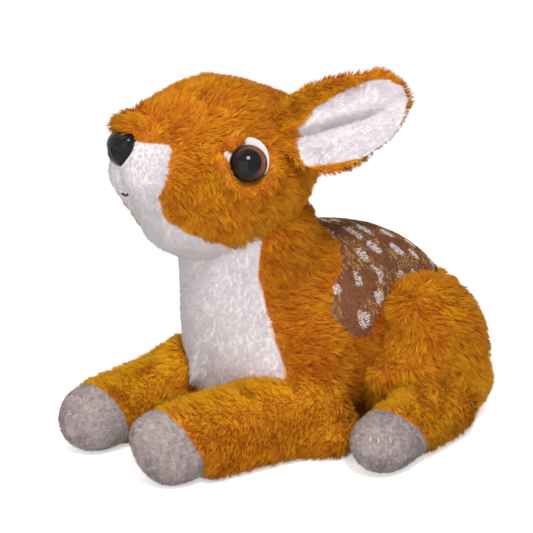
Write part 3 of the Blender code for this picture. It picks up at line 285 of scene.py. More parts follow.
def step(low, high, value):
    """Rises smoothly from 0 at low to 1 at high."""
    part = np.clip((value - low) / (high - low), 0, 1)
    return part * part * (3 - 2 * part)


def unit(vectors):
    return vectors / np.maximum(np.linalg.norm(vectors, axis=-1, keepdims=True), 1e-12)


def flat_distance(points, outline):
    """Distance of (Y, Z) points to a closed outline, negative inside it: nearest point of each
    edge for the distance, and a count of crossed edges for the sign."""
    corners = np.asarray(outline, float)
    best, inside = np.full(points.shape[:-1], np.inf), np.zeros(points.shape[:-1], bool)
    for start, end in zip(corners, np.roll(corners, -1, 0)):
        edge, out = end - start, points - start
        along = np.clip((out @ edge) / (edge @ edge), 0, 1)
        best = np.minimum(best, np.linalg.norm(out - along[..., None] * edge, axis=-1))
        crossing = (start[1] > points[..., 1]) != (end[1] > points[..., 1])
        rise = edge[1] if abs(edge[1]) > 1e-12 else 1e-12
        inside ^= crossing & (points[..., 0] < start[0] + (points[..., 1] - start[1]) / rise * edge[0])
    return np.where(inside, -best, best)


def waves(points, size, seed, count=3):
    """Smooth noise of several values: sums of sines in random directions, about 1 high."""
    rng = np.random.default_rng(seed)
    total = np.zeros((*points.shape[:-1], count))
    for octave in (1.0, 1.7, 2.9):
        for _ in range(4):
            along = unit(rng.normal(size=(3, count)).T).T
            total += np.sin(points @ along * (2 * np.pi * octave / size)
                            + rng.uniform(0, 2 * np.pi, count)) / octave
    return total / 2.4


def mirrored(points):
    """The points, with those of the right side moved to the left one."""
    return np.concatenate([np.abs(points[:, :1]), points[:, 1:]], 1)


def above_ground(points):
    """Which points lie off the ground, where pile can stand."""
    return points[:, 2] > GROUND * 1.5


def matrix_of(turns, place):
    """A 4 x 4 matrix that turns in the given order, last first, and then moves to a place."""
    matrix = Matrix.Translation(place)
    for axis, angle in turns:
        matrix = matrix @ Matrix.Rotation(angle, 4, axis)
    return np.array(matrix)


def moved(points, matrix):
    return points @ matrix[:3, :3].T + matrix[:3, 3]


def turned_only(vectors, matrix):
    return vectors @ matrix[:3, :3].T


HEAD = matrix_of(HEAD_TURNS, NECK_MIDDLE)
HEAD_BACK = np.linalg.inv(HEAD)


# Fields

def joined(first, second, soft):
    """The smooth union of two fields: the lower one, and lower still where they are close."""
    share = np.clip(0.5 + 0.5 * (second - first) / soft, 0, 1)
    return second * (1 - share) + first * share - soft * share * (1 - share)


def swollen_field(points, ends, size, tables, inset, square=1.0):
    """How far points lie outside a swollen form along Y: at each place its cross-section is an
    oval, as wide and tall as the sine of the place times its tables."""
    back, front = ends[0] - inset, ends[1] + inset
    middle, reach = (back + front) / 2, (back - front) / 2
    place = np.arccos(np.clip((points[..., 1] - middle) / reach, -0.9999, 0.9999)) / np.pi
    swell = np.sin(np.pi * place)
    centre, tall, wide = (eased(table, place) for table in tables)
    wide = np.maximum(size[0] / 2 * swell * wide - inset * np.sqrt(swell), 1e-4)
    tall = np.maximum(size[1] / 2 * swell * tall - inset * np.sqrt(swell), 1e-4)
    up = (points[..., 2] - size[1] * centre) / tall
    power = np.where(up < 0, 2 / square, 2)
    out = np.sqrt(np.abs(points[..., 0] / wide) ** power + up ** 2)
    return (out - 1) * np.minimum(wide, tall)


def neck_field(points, inset):
    """How far points lie outside the neck: level ovals on a leaning line, closed by a dome."""
    place = (points[..., 2] - NECK_FOOT) / (NECK_TOP - NECK_FOOT)
    wide = NECK_SIZE[0] / 2 * eased(NECK_WIDE, place) - inset
    deep = NECK_SIZE[1] / 2 * eased(NECK_DEEP, place) - inset
    middle = -NECK_LEAN * eased(NECK_PLACE, place)
    dome = np.maximum(points[..., 2] - NECK_DOME, 0) / NECK_DOME_TALL
    out = np.sqrt((points[..., 0] / wide) ** 2 + ((points[..., 1] - middle) / deep) ** 2 + dome ** 2)
    return np.maximum((out - 1) * wide, NECK_FOOT - points[..., 2])


def oval_field(points, centre, radii):
    """How far points lie outside an ellipsoid."""
    scaled = (points - np.asarray(centre)) / np.asarray(radii)
    return (np.linalg.norm(scaled, axis=-1) - 1) * min(radii)


def body_field(points, inset):
    """The torso, the neck and the two shoulders, run into one another."""
    tables = BODY_CENTRE, BODY_TALL, BODY_WIDE
    torso = swollen_field(points, BODY_ENDS, BODY_SIZE, tables, inset, BELLY_SQUARE)
    whole = joined(torso, neck_field(points, inset), BODY_BLEND)
    (out, *place), radii = BODY_SHOULDER
    for sign in SIDES.values():
        whole = joined(whole, oval_field(points, (sign * out, *place), radii), BODY_BLEND)
    return whole


def head_field(points, inset):
    """How far points in the toy's frame lie outside the head."""
    tables = HEAD_CENTRE, HEAD_TALL, HEAD_WIDE
    return swollen_field(moved(points, HEAD_BACK), HEAD_ENDS, HEAD_SIZE, tables, inset)


def shoulder_matrix(side):
    sign = SIDES[side]
    place = (sign * SHOULDER[0], SHOULDER[1] - FRONT_REACH[side], 0)
    return matrix_of((("Z", -sign * FRONT_TURN[side]),), place)


def hip_place(side):
    return np.array([SIDES[side] * HIP[0], HIP[1] + HIP_DRAWN_BACK[side], HIP[2]])


def thigh_field(points, side, inset):
    """How far points lie outside the haunch: a dome on a sideways axis."""
    hip = hip_place(side)
    out = (np.abs(points[..., 0]) - HIP_INNER) / (HIP[0] - HIP_INNER)
    order = np.argsort(THIGH_OUT[:-1])
    radius = np.interp(out, np.array(THIGH_OUT)[order], np.array(THIGH_ROUND)[order], 0, 0)
    far = np.hypot(points[..., 1] - hip[1], points[..., 2] - hip[2])
    return far - (THIGH_RADIUS * radius - inset)


def leg_field(points, side, inset):
    """How far points lie outside a foreleg: a tapering tube, a barrel at its root and its
    elbow's oval. The far foreleg is fuller, with an oval more."""
    own = moved(points, np.linalg.inv(shoulder_matrix(side)))
    length, wide, tall = (*FRONT_LEG, FRONT_TALL[side])
    place = np.clip(-own[..., 1] / length, 0, 1)
    narrow = 1 + (FRONT_TAPER - 1) * place
    half = tall / 2 * narrow
    up = (own[..., 2] - half) / (half - inset)
    power = np.where(up < 0, 2 / SOLE_SQUARE, 2)
    tube = np.sqrt(np.abs(own[..., 0] / (wide / 2 * narrow - inset)) ** power
                   + np.abs(up) ** np.where(up < 0, SOLE_FLAT, 2))
    tube = (tube - 1) * (wide / 2)
    tube = np.maximum(tube, np.maximum(own[..., 1] - ROOT_OVERRUN, -own[..., 1] - length + inset / 2))
    barrel = oval_field(own, (0, 0, SHOULDER_HEIGHT * BARREL_HEIGHT_SHARE),
                        (SHOULDER_RADIUS - inset, SHOULDER_RADIUS - inset,
                         SHOULDER_HEIGHT * BARREL_TALL_SHARE - inset))
    (out, *place), radii = ELBOW
    barrel = joined(barrel, oval_field(own, (SIDES[side] * out, *place), radii), ELBOW_BLEND)
    if side == "right":
        barrel = joined(barrel, oval_field(own, *FAR_FOREARM), ELBOW_BLEND)
    return joined(tube, barrel, LEG_BLEND)


# Grids

def burst(centres, directions, reach, field):
    """From each centre along its direction, the first point where the field turns positive,
    found by even steps and then by halving."""
    steps = np.linspace(0, reach, 40)
    values = field(centres[..., None, :] + directions[..., None, :] * steps[:, None])
    first = np.maximum(np.argmax(values > 0, axis=-1), 1)
    low, high = steps[first - 1], steps[first]
    for _ in range(11):
        middle = (low + high) / 2
        out = field(centres + directions * middle[..., None]) > 0
        low, high = np.where(out, low, middle), np.where(out, middle, high)
    return centres + directions * low[..., None]


class Skin:
    """A closed grid: rings of points, and a pole at each end. Its normals point outwards."""

    def __init__(self, points):
        rows, sides = points.shape[:2]
        index = np.arange(rows * sides).reshape(rows, sides)
        on = np.roll(index, -1, 1)
        self.quads = np.stack([index[:-1], on[:-1], on[1:], index[1:]], -1).reshape(-1, 4)
        caps = [np.stack([np.full(sides, rows * sides), on[0], index[0]], -1),
                np.stack([np.full(sides, rows * sides + 1), index[-1], on[-1]], -1)]
        self.caps = np.concatenate(caps)
        poles = np.stack([points[0].mean(0), points[-1].mean(0)])
        self.vertices = np.concatenate([points.reshape(-1, 3), poles])
        if self.volume() < 0:
            self.quads, self.caps = self.quads[:, ::-1], self.caps[:, ::-1]
        self.settle()

    def triangles(self):
        return np.concatenate([self.quads[:, :3], self.quads[:, [0, 2, 3]], self.caps])

    def volume(self):
        a, b, c = (self.vertices[k] for k in self.triangles().T)
        return np.einsum("ij,ij->i", a, np.cross(b, c)).sum() / 6

    def settle(self):
        """The normals: each corner sums the cross products of the triangles round it."""
        triangles = self.triangles()
        a, b, c = (self.vertices[k] for k in triangles.T)
        face = np.cross(b - a, c - a)
        total = np.zeros_like(self.vertices)
        for column in triangles.T:
            np.add.at(total, column, face)
        self.normals = unit(total)

    def shifted(self, distance):
        """Moves every point along its normal, by its own distance, and finds the normals again."""
        self.vertices = self.vertices + self.normals * distance[:, None]
        self.settle()
        return self

    def placed(self, matrix):
        self.vertices = moved(self.vertices, matrix)
        self.settle()
        return self

    def grounded(self):
        """Lays flat on the ground whatever would sink into it."""
        self.vertices[:, 2] = np.maximum(self.vertices[:, 2], GROUND)
        self.settle()
        return self

    def sown(self, per_area, rng):
        """Random places on the quads, by area: (points, normals)."""
        a, b, c, d = (self.vertices[k] for k in self.quads.T)
        area = np.linalg.norm(np.cross(c - a, d - b), axis=1) / 2
        count = int(area.sum() * per_area)
        chosen = rng.choice(len(area), count, p=area / area.sum())
        u, v = rng.random((2, count, 1))
        corners = self.quads[chosen].T
        shares = (1 - u) * (1 - v), u * (1 - v), u * v, (1 - u) * v
        places = sum(self.vertices[k] * s for k, s in zip(corners, shares))
        normals = sum(self.normals[k] * s for k, s in zip(corners, shares))
        return places, unit(normals)


def circle(sides):
    """Even angles round a ring."""
    return np.arange(sides) * 2 * np.pi / sides


def rings_along(middles, across, up, round_):
    """Ovals at each middle: cosine times across plus sine times up. Each is (rows, 3) or (3,)."""
    return (middles[:, None] + np.cos(round_)[None, :, None] * across[:, None]
            + np.sin(round_)[None, :, None] * up[:, None])


def mesh_from(name, vertices, faces):
    """A mesh from an array of points and arrays of equal faces."""
    mesh = bpy.data.meshes.new(name)
    counts = np.concatenate([np.full(len(f), f.shape[1]) for f in faces])
    corners = np.concatenate([f.ravel() for f in faces])
    mesh.vertices.add(len(vertices))
    mesh.vertices.foreach_set("co", vertices.astype(np.float32).ravel())
    mesh.loops.add(len(corners))
    mesh.loops.foreach_set("vertex_index", corners.astype(np.int32))
    mesh.polygons.add(len(counts))
    starts = np.concatenate([[0], np.cumsum(counts)[:-1]])
    mesh.polygons.foreach_set("loop_start", starts.astype(np.int32))
    mesh.update(calc_edges=True)
    mesh.shade_smooth()
    return mesh


def piece(name, mesh, material, body):
    """A finished object of the fawn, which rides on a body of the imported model."""
    thing = bpy.data.objects.new(name, mesh)
    bpy.context.scene.collection.objects.link(thing)
    mesh.materials.clear()
    mesh.materials.append(material)
    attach(thing, body)
    return thing


def stuffed(name, skin, material, body, slot, fill, nodes, **dyes):
    """A stuffed skin that stands for CAD nodes. Its Dye and Ground say, point by point, how much
    of its second and third colour it has."""
    mesh = mesh_from(name, skin.vertices, [skin.quads, skin.caps])
    for title in ("Dye", "Ground"):
        share = np.broadcast_to(dyes.get(title, 0), len(skin.vertices)).astype(np.float32)
        mesh.attributes.new(title, "FLOAT", "POINT").data.foreach_set("value", share)
    thing = piece(name, mesh, material, body)
    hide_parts(*nodes)
    return thing


# Pile

def leaders(roots, per_lock, rng):
    """For each root, the nearest of a few chosen ones."""
    chosen = rng.choice(len(roots), max(len(roots) // per_lock, 1), replace=False)
    nearest = np.empty(len(roots), int)
    heads = roots[chosen]
    for start in range(0, len(roots), 4000):
        block = roots[start:start + 4000]
        gap = (heads ** 2).sum(1) - 2 * block @ heads.T
        nearest[start:start + 4000] = gap.argmin(1)
    return chosen[nearest]


def lying(direction, roots, matrix=np.eye(4)):
    """The same lie of the pile at every root, turned with the frame of its piece."""
    return turned_only(np.tile(direction, (len(roots), 1)), matrix)


def tones(roots, rng, base, size, seed, swing=0.1, scatter=0.2):
    """Tones round a base: slow waves over the skin, and a scatter from lock to lock."""
    return base + swing * waves(roots, size * MM, seed, 1)[:, 0] + rng.normal(size=len(roots)) * scatter


def pile(name, roots, normals, flow, length, width, tone, material, body, slot, seed, clump=0.14, pull=0.75,
         nodes=()):
    """Pile as spikes with a three-cornered foot. Each goes up from the cloth and leans along the
    flow, and the tips of a clump are drawn together. The map runs with the tone across and from
    the root to the tip upwards."""
    pile_settings = bpy.context.scene.fawn_pile
    rng = np.random.default_rng(pile_settings.seed * 1000 + seed)
    count = len(roots)
    stray = pile_settings.stray
    flow = unit(flow) + stray * waves(roots, STRAY_SIZE, seed)
    flow = flow + stray * STRAY_SCATTER * rng.normal(size=(count, 3))
    flow = unit(flow - normals * np.einsum("ij,ij->i", flow, normals)[:, None])
    length = length * rng.uniform(*LENGTH_SPREAD, count)
    lean = pile_settings.lean * rng.uniform(*LEAN_SPREAD, count)
    low, high = (normals * np.cos(lean * bow)[:, None] + flow * np.sin(lean * bow)[:, None]
                 for bow in LEAN_BOW)
    feet = roots - normals * ROOT_DEPTH
    tips = feet + (low + high) * (length * 0.5)[:, None]
    leader = leaders(roots, CLUMP_LOCKS, rng)
    tips += (tips[leader] - tips) * rng.uniform(0.1 * pull, pull, count)[:, None]
    tone = tone + clump * rng.normal(size=count)[leader]
    axis = unit(tips - feet)
    turn = rng.uniform(0, 2 * np.pi, count)
    side = unit(np.cross(axis, normals + 1e-4))
    other = np.cross(axis, side)
    ring = []
    for k in range(3):
        angle = turn + 2 * np.pi * k / 3
        ring.append(side * np.cos(angle)[:, None] + other * np.sin(angle)[:, None])
    ring = np.stack(ring, 1)
    vertices = np.concatenate([feet[:, None] + ring * width / 2, tips[:, None]], 1)
    vertices[..., 2] = np.maximum(vertices[..., 2], GROUND)
    local = np.array([(0, 2, 1), (0, 1, 3), (1, 2, 3), (2, 0, 3)])
    faces = (np.arange(count)[:, None, None] * 4 + local).reshape(-1, 3)
    mesh = mesh_from(name, vertices.reshape(-1, 3), [faces])

    soft = np.concatenate([ring, axis[:, None] * 0.6], 1)
    shading = unit(soft * 0.55 + normals[:, None] + high[:, None] * 0.15)
    mesh.normals_split_custom_set_from_vertices(shading.reshape(-1, 3).astype(np.float32))

    across = np.array([-0.003, 0.003, 0.0, 0.0])
    along = np.array([0.0, 0.002, 0.006, 0.99])
    tone = np.clip(tone, 0.01, 0.99)
    places = np.stack([tone[:, None] + across, np.broadcast_to(along, (count, 4))], -1)
    layer = mesh.uv_layers.new(name="OFBake")
    layer.data.foreach_set("uv", places.reshape(-1, 2)[faces.ravel()].astype(np.float32).ravel())
    thing = piece(name, mesh, material, body)
    if nodes:
        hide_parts(*nodes)
    return thing


# Materials

def group(name, inputs, outputs):
    """An empty node group with named sockets: (tree, its input node, its output node)."""
    tree = bpy.data.node_groups.new(name, "ShaderNodeTree")
    for title, kind in inputs:
        tree.interface.new_socket(title, in_out="INPUT", socket_type=kind)
    for title, kind in outputs:
        tree.interface.new_socket(title, in_out="OUTPUT", socket_type=kind)
    return tree, tree.nodes.new("NodeGroupInput"), tree.nodes.new("NodeGroupOutput")


def maths(tree, operation, first, second=None, third=None):
    node = tree.nodes.new("ShaderNodeMath")
    node.operation = operation
    for socket, value in zip(node.inputs, (first, second, third)):
        if value is None:
            continue
        if isinstance(value, (int, float)):
            socket.default_value = value
        else:
            tree.links.new(value, socket)
    return node.outputs[0]


def mixed(tree, share, first, second, kind="MIX"):
    node = tree.nodes.new("ShaderNodeMix")
    node.data_type = "RGBA"
    node.blend_type = kind
    for socket, value in ((node.inputs[0], share), (node.inputs[6], first), (node.inputs[7], second)):
        if isinstance(value, (int, float, tuple)):
            socket.default_value = value
        else:
            tree.links.new(value, socket)
    return node.outputs[2]


def ramp_of(tree, place, stops):
    """A colour ramp that is read at a place and has the given (place, colour) stops."""
    ramp = tree.nodes.new("ShaderNodeValToRGB")
    elements = ramp.color_ramp.elements
    while len(elements) < len(stops):
        elements.new(0.5)
    for element, (at, colour) in zip(elements, stops):
        element.position = at
        element.color = (*colour, 1)
    tree.links.new(place, ramp.inputs[0])
    return ramp.outputs[0]


def lock_group():
    """Colour of a lock: from its root's colour over the middle's to the tip's, and a little
    lighter or darker from lock to lock. The darker root is painted shade between the locks."""
    name = "lock_colour"
    if name in bpy.data.node_groups:
        return bpy.data.node_groups[name]
    colours = [(title, "NodeSocketColor") for title in ("Root", "Middle", "Tip")]
    inputs = [("Place", "NodeSocketVector"), *colours, ("Variation", "NodeSocketFloat")]
    tree, given, made = group(name, inputs, [("Color", "NodeSocketColor")])
    split = tree.nodes.new("ShaderNodeSeparateXYZ")
    tree.links.new(given.outputs["Place"], split.inputs[0])
    tone, height = split.outputs[0], split.outputs[1]
    low = maths(tree, "MULTIPLY", height, 2.0)
    low.node.use_clamp = True
    high = maths(tree, "MULTIPLY_ADD", height, 2.0, -1.0)
    high.node.use_clamp = True
    colour = mixed(tree, low, given.outputs["Root"], given.outputs["Middle"])
    colour = mixed(tree, high, colour, given.outputs["Tip"])
    off = maths(tree, "SUBTRACT", tone, 0.5)
    shade = tree.nodes.new("ShaderNodeHueSaturation")
    tree.links.new(maths(tree, "MULTIPLY_ADD", off, given.outputs["Variation"], 1.0), shade.inputs["Value"])
    tree.links.new(maths(tree, "MULTIPLY_ADD", off, 0.04, 0.5), shade.inputs["Hue"])
    tree.links.new(colour, shade.inputs["Color"])
    tree.links.new(shade.outputs[0], made.inputs["Color"])
    return tree


def cloth_group():
    """Knitted ground of the plush: two colours in soft patches, and a fine grain for the bump."""
    name = "knitted_ground"
    if name in bpy.data.node_groups:
        return bpy.data.node_groups[name]
    tree, given, made = group(name, [("Place", "NodeSocketVector"), ("Dark", "NodeSocketColor"),
                                     ("Light", "NodeSocketColor"), ("Size", "NodeSocketFloat")],
                              [("Color", "NodeSocketColor"), ("Height", "NodeSocketFloat")])
    patches = tree.nodes.new("ShaderNodeTexNoise")
    patches.inputs["Detail"].default_value = 4
    tree.links.new(given.outputs["Place"], patches.inputs["Vector"])
    tree.links.new(given.outputs["Size"], patches.inputs["Scale"])
    tree.links.new(mixed(tree, patches.outputs["Fac"], given.outputs["Dark"], given.outputs["Light"]),
                   made.inputs["Color"])
    grain = tree.nodes.new("ShaderNodeTexVoronoi")
    grain.inputs["Scale"].default_value = 900
    tree.links.new(given.outputs["Place"], grain.inputs["Vector"])
    tree.links.new(grain.outputs["Distance"], made.inputs["Height"])
    return tree


def blank(name, roughness, sheen=0.0):
    material = bpy.data.materials.new(name)
    material.use_nodes = True
    shader = material.node_tree.nodes["Principled BSDF"]
    shader.inputs["Roughness"].default_value = roughness
    shader.inputs["Sheen Weight"].default_value = sheen
    shader.inputs["Sheen Roughness"].default_value = 0.5
    return material, material.node_tree, shader


def use_group(tree, kind, **values):
    node = tree.nodes.new("ShaderNodeGroup")
    node.node_tree = kind
    for title, value in values.items():
        socket = node.inputs[title]
        if isinstance(value, bpy.types.NodeSocket):
            tree.links.new(value, socket)
        else:
            socket.default_value = (*value, 1) if hasattr(value, "__len__") else value
    return node


def pile_material(name, root, middle, tip, variation, sheen=0.0):
    """Pile, coloured by each lock's own map."""
    if name in bpy.data.materials:
        return bpy.data.materials[name]
    material, tree, shader = blank(name, 0.85, sheen)
    place = tree.nodes.new("ShaderNodeUVMap")
    place.uv_map = "OFBake"
    colour = use_group(tree, lock_group(), Place=place.outputs[0], Root=root, Middle=middle, Tip=tip,
                       Variation=variation)
    tree.links.new(colour.outputs[0], shader.inputs["Base Color"])
    shader.inputs["Specular IOR Level"].default_value = 0.06
    return material


def printed_material(name, colours):
    """The saddle's printed pile: the tone of a lock is first its dye, brown, tan or cream, and
    then how light it is. Towards its root each lock darkens, painted shade between the locks."""
    if name in bpy.data.materials:
        return bpy.data.materials[name]
    material, tree, shader = blank(name, 0.85)
    place = tree.nodes.new("ShaderNodeUVMap")
    place.uv_map = "OFBake"
    split = tree.nodes.new("ShaderNodeSeparateXYZ")
    tree.links.new(place.outputs[0], split.inputs[0])
    stops = ((0.0, colours.brown, 0.6), (0.46, colours.brown, 1.5), (0.5, colours.tan, 0.6),
             (0.72, colours.tan, 1.25), (0.76, colours.cream, 0.88), (1.0, colours.cream, 1.04))
    stops = [(at, [min(value * gain, 1) for value in colour]) for at, colour, gain in stops]
    printed = ramp_of(tree, split.outputs[0], stops)
    # Painted shade: darker towards the root of each lock
    low = maths(tree, "MULTIPLY_ADD", split.outputs[1], 0.35, 0.72)
    low.node.use_clamp = True
    colour = mixed(tree, low, (0.05, 0.02, 0.01, 1), printed)
    tree.links.new(colour, shader.inputs["Base Color"])
    shader.inputs["Specular IOR Level"].default_value = 0.06
    return material


def cloth_material(name, dark, light, second=None, third=None):
    """The cloth under the pile, with a second dye where the skin's Dye says so, and a third
    where its Ground does."""
    if name in bpy.data.materials:
        return bpy.data.materials[name]
    material, tree, shader = blank(name, 0.95)
    place = tree.nodes.new("ShaderNodeTexCoord")
    ground = use_group(tree, cloth_group(), Place=place.outputs["Object"], Dark=dark, Light=light, Size=260.0)
    colour = ground.outputs[0]
    if second is not None:
        dye = tree.nodes.new("ShaderNodeAttribute")
        dye.attribute_name = "Dye"
        colour = mixed(tree, dye.outputs["Fac"], colour, (*second, 1))
    if third is not None:
        under = tree.nodes.new("ShaderNodeAttribute")
        under.attribute_name = "Ground"
        colour = mixed(tree, under.outputs["Fac"], colour, (*third, 1))
    tree.links.new(colour, shader.inputs["Base Color"])
    bump = tree.nodes.new("ShaderNodeBump")
    bump.inputs["Strength"].default_value = 0.4
    bump.inputs["Distance"].default_value = 0.0004
    tree.links.new(ground.outputs[1], bump.inputs["Height"])
    tree.links.new(bump.outputs[0], shader.inputs["Normal"])
    return material


def plastic_material(name, colour, roughness):
    """Moulded plastic with faint clouds in its colour and polish."""
    if name in bpy.data.materials:
        return bpy.data.materials[name]
    material, tree, shader = blank(name, roughness)
    place = tree.nodes.new("ShaderNodeTexCoord")
    dark, light = tuple(c * 0.8 for c in colour), tuple(min(c * 1.2, 1) for c in colour)
    ground = use_group(tree, cloth_group(), Place=place.outputs["Object"], Dark=dark, Light=light, Size=120.0)
    tree.links.new(ground.outputs[0], shader.inputs["Base Color"])
    return material


def orange_pile(colours):
    return pile_material("orange_pile", colours.orange_root, colours.orange, colours.orange_tip, 0.55)


def white_pile(colours):
    return pile_material("white_pile", colours.white_root, colours.white, colours.white, 0.14)


def grey_pile(colours):
    return pile_material("grey_pile", colours.grey_root, colours.grey, colours.grey, 0.5)


def orange_cloth(colours):
    # The cloth's darker patches take the pile's root colour: painted shade in the gaps between the locks.
    light = tuple(c * 0.8 for c in colours.orange)
    return cloth_material("orange_cloth", colours.orange_root, light, colours.white_root, colours.brown)


def orange_skin(name, skin, body, fill, node=None, **dyes):
    """A stuffed skin of orange plush that stands for a CAD node, its body's own one by default."""
    cloth = orange_cloth(settings()[1])
    return stuffed(name, skin, cloth, body, "orange_plush", fill, (node or body,), **dyes)


def orange_over(name, roots, normals, flow, length, tone, body, seed, **more):
    """Long orange pile."""
    look, colours = settings()
    return pile(name, roots, normals, flow, length, look.width, tone, orange_pile(colours), body,
                "orange_plush", seed, **more)


def white_over(name, roots, normals, flow, length, width, tone, body, seed, node):
    """Short white pile that stands for a CAD node."""
    return pile(name, roots, normals, flow, length, width, tone, white_pile(settings()[1]), body,
                "white_plush", seed, nodes=(node,))


# The body

def body_rings(inset):
    """The body's grid: its rings lie in upright planes at the back, fan out round a line at the
    withers, and lie level in the neck. Rays from each ring's middle find the skin."""
    pivot = np.array(WITHERS)
    back, top = BODY_ENDS[0] - inset, 107 * MM
    turn = np.linspace(0, np.pi / 2, 34)
    run = pivot[0] + (back - pivot[0]) * np.sin(np.linspace(0.492 * np.pi, 0.02, 30))
    rise = pivot[1] + (top - pivot[1]) * np.sin(np.linspace(0.1, 0.47 * np.pi, 9))
    starts = np.concatenate([
        np.stack([run, np.full(len(run), pivot[1])], 1),
        np.repeat(pivot[None], len(turn), 0),
        np.stack([np.full(len(rise), pivot[0]), rise], 1)])
    angle = np.concatenate([np.zeros(len(run)), turn, np.full(len(rise), np.pi / 2)])
    down = np.stack([-np.sin(angle), -np.cos(angle)], 1)
    reach = np.linspace(0, 110 * MM, 160)
    line = starts[:, None] + down[:, None] * reach[:, None]
    line = np.concatenate([np.zeros((*line.shape[:2], 1)), line], -1)
    inside = (body_field(line, inset) < 0) & (line[..., 2] > -0.002)
    first = reach[inside.argmax(1)]
    last = reach[inside.shape[1] - 1 - inside[:, ::-1].argmax(1)]
    middle = starts + down * ((first + last) / 2)[:, None]
    middle = np.concatenate([np.zeros((len(middle), 1)), middle], 1)
    down = np.concatenate([np.zeros((len(down), 1)), down], 1)
    round_ = circle(112)
    aim = (np.cos(round_)[None, :, None] * np.array([1.0, 0, 0])
           + np.sin(round_)[None, :, None] * down[:, None])
    centres = np.broadcast_to(middle[:, None], aim.shape)
    points = burst(centres, aim, 80 * MM, lambda p: body_field(p, inset))
    return Skin(points)


def bulge(points, place, size, height):
    """A bulge that is the same on both sides: a bell round a place, all in millimetres."""
    gap = np.linalg.norm((mirrored(points) - np.array(place) * MM) / (np.array(size) * MM), axis=1)
    return height * MM * np.exp(-gap ** 2)


def bulges(points, table):
    return sum(bulge(points, *row) for row in table)


def body_shape(points):
    """How far the body's skin is pushed out: under the short pile, which is thinner than the
    long one, and full at the withers and at the nape."""
    flat = points[:, 1:]
    bib = step(3 * MM, -3 * MM, flat_distance(flat, BIB))
    saddle = step(5 * MM, -5 * MM, flat_distance(flat, SADDLE))
    return 1.8 * MM * saddle - 0.5 * MM * bib + bulges(points, BODY_BULGES)


def spots(points, seed):
    """The saddle's print at points on it: 0 for ground, 1 for a streak, 2 for a spot. Spots are
    ovals in loose rows down the sides. Streaks are thin crooked lines that run down between
    them, in patches."""
    rng = np.random.default_rng(seed)
    place = np.stack([np.arctan2(points[:, 0], points[:, 2] - TRUNK_AXIS) * TRUNK_RADIUS, points[:, 1]], 1)
    rows, columns = np.mgrid[-8:9, -2:10]
    centres = np.stack([rows * SPOT_ROW, (columns + 0.5 * (rows % 2)) * SPOT_COLUMN], -1).reshape(-1, 2)
    centres = centres + rng.normal(size=centres.shape) * SPOT_SCATTER
    shift = waves(points, 9 * MM, seed + 1, 2) * (0.7 * MM)
    grain = waves(points, 2.6 * MM, seed + 4, 1)[:, 0]
    crooked = place[:, 1] + STREAK_WAVE * np.sin(place[:, 0] / (2.1 * MM)) + shift[:, 1] * 1.6
    line = np.abs((crooked / STREAK_GAP) % 1 - 0.5)
    patch = waves(points, 17 * MM, seed + 2, 1)[:, 0]
    result = ((line < STREAK_SHARE + 0.03 * grain) & (patch > -0.2)).astype(int)
    for centre in centres:
        turn = rng.normal() * SPOT_TURN[1] + SPOT_TURN[0]
        wide, long = rng.uniform(*SPOT_WIDE) * MM, rng.uniform(*SPOT_LONG) * MM
        off = place + shift - centre
        down = off[:, 0] * math.cos(turn) + off[:, 1] * math.sin(turn)
        over = off[:, 1] * math.cos(turn) - off[:, 0] * math.sin(turn)
        result[np.hypot(over / wide, down / long) < 1 + 0.12 * grain] = 2
    return result


def body_flow(points):
    """The pile's lie: down the neck, then back along the trunk and a little down."""
    high = step(60 * MM, 84 * MM, points[:, 2]) * step(14 * MM, -2 * MM, points[:, 1])
    neck = np.array([0, 0.35, -1.0])
    trunk = np.array([0, 1.0, -0.35])
    return neck * high[:, None] + trunk * (1 - high)[:, None]


def clear_of(points, *fields):
    """Which points lie outside all the fields or barely in them, and every other one of those
    that the joints uncover."""
    keep = np.ones(len(points), bool)
    sparse = np.arange(len(points)) % 2 == 0
    for field in fields:
        depth = -field(points)
        keep &= (depth < UNSEEN) | ((depth < UNCOVERED) & sparse)
    return keep


def neighbours(side):
    return [lambda p: thigh_field(p, side, 0), lambda p: leg_field(p, side, 0)]


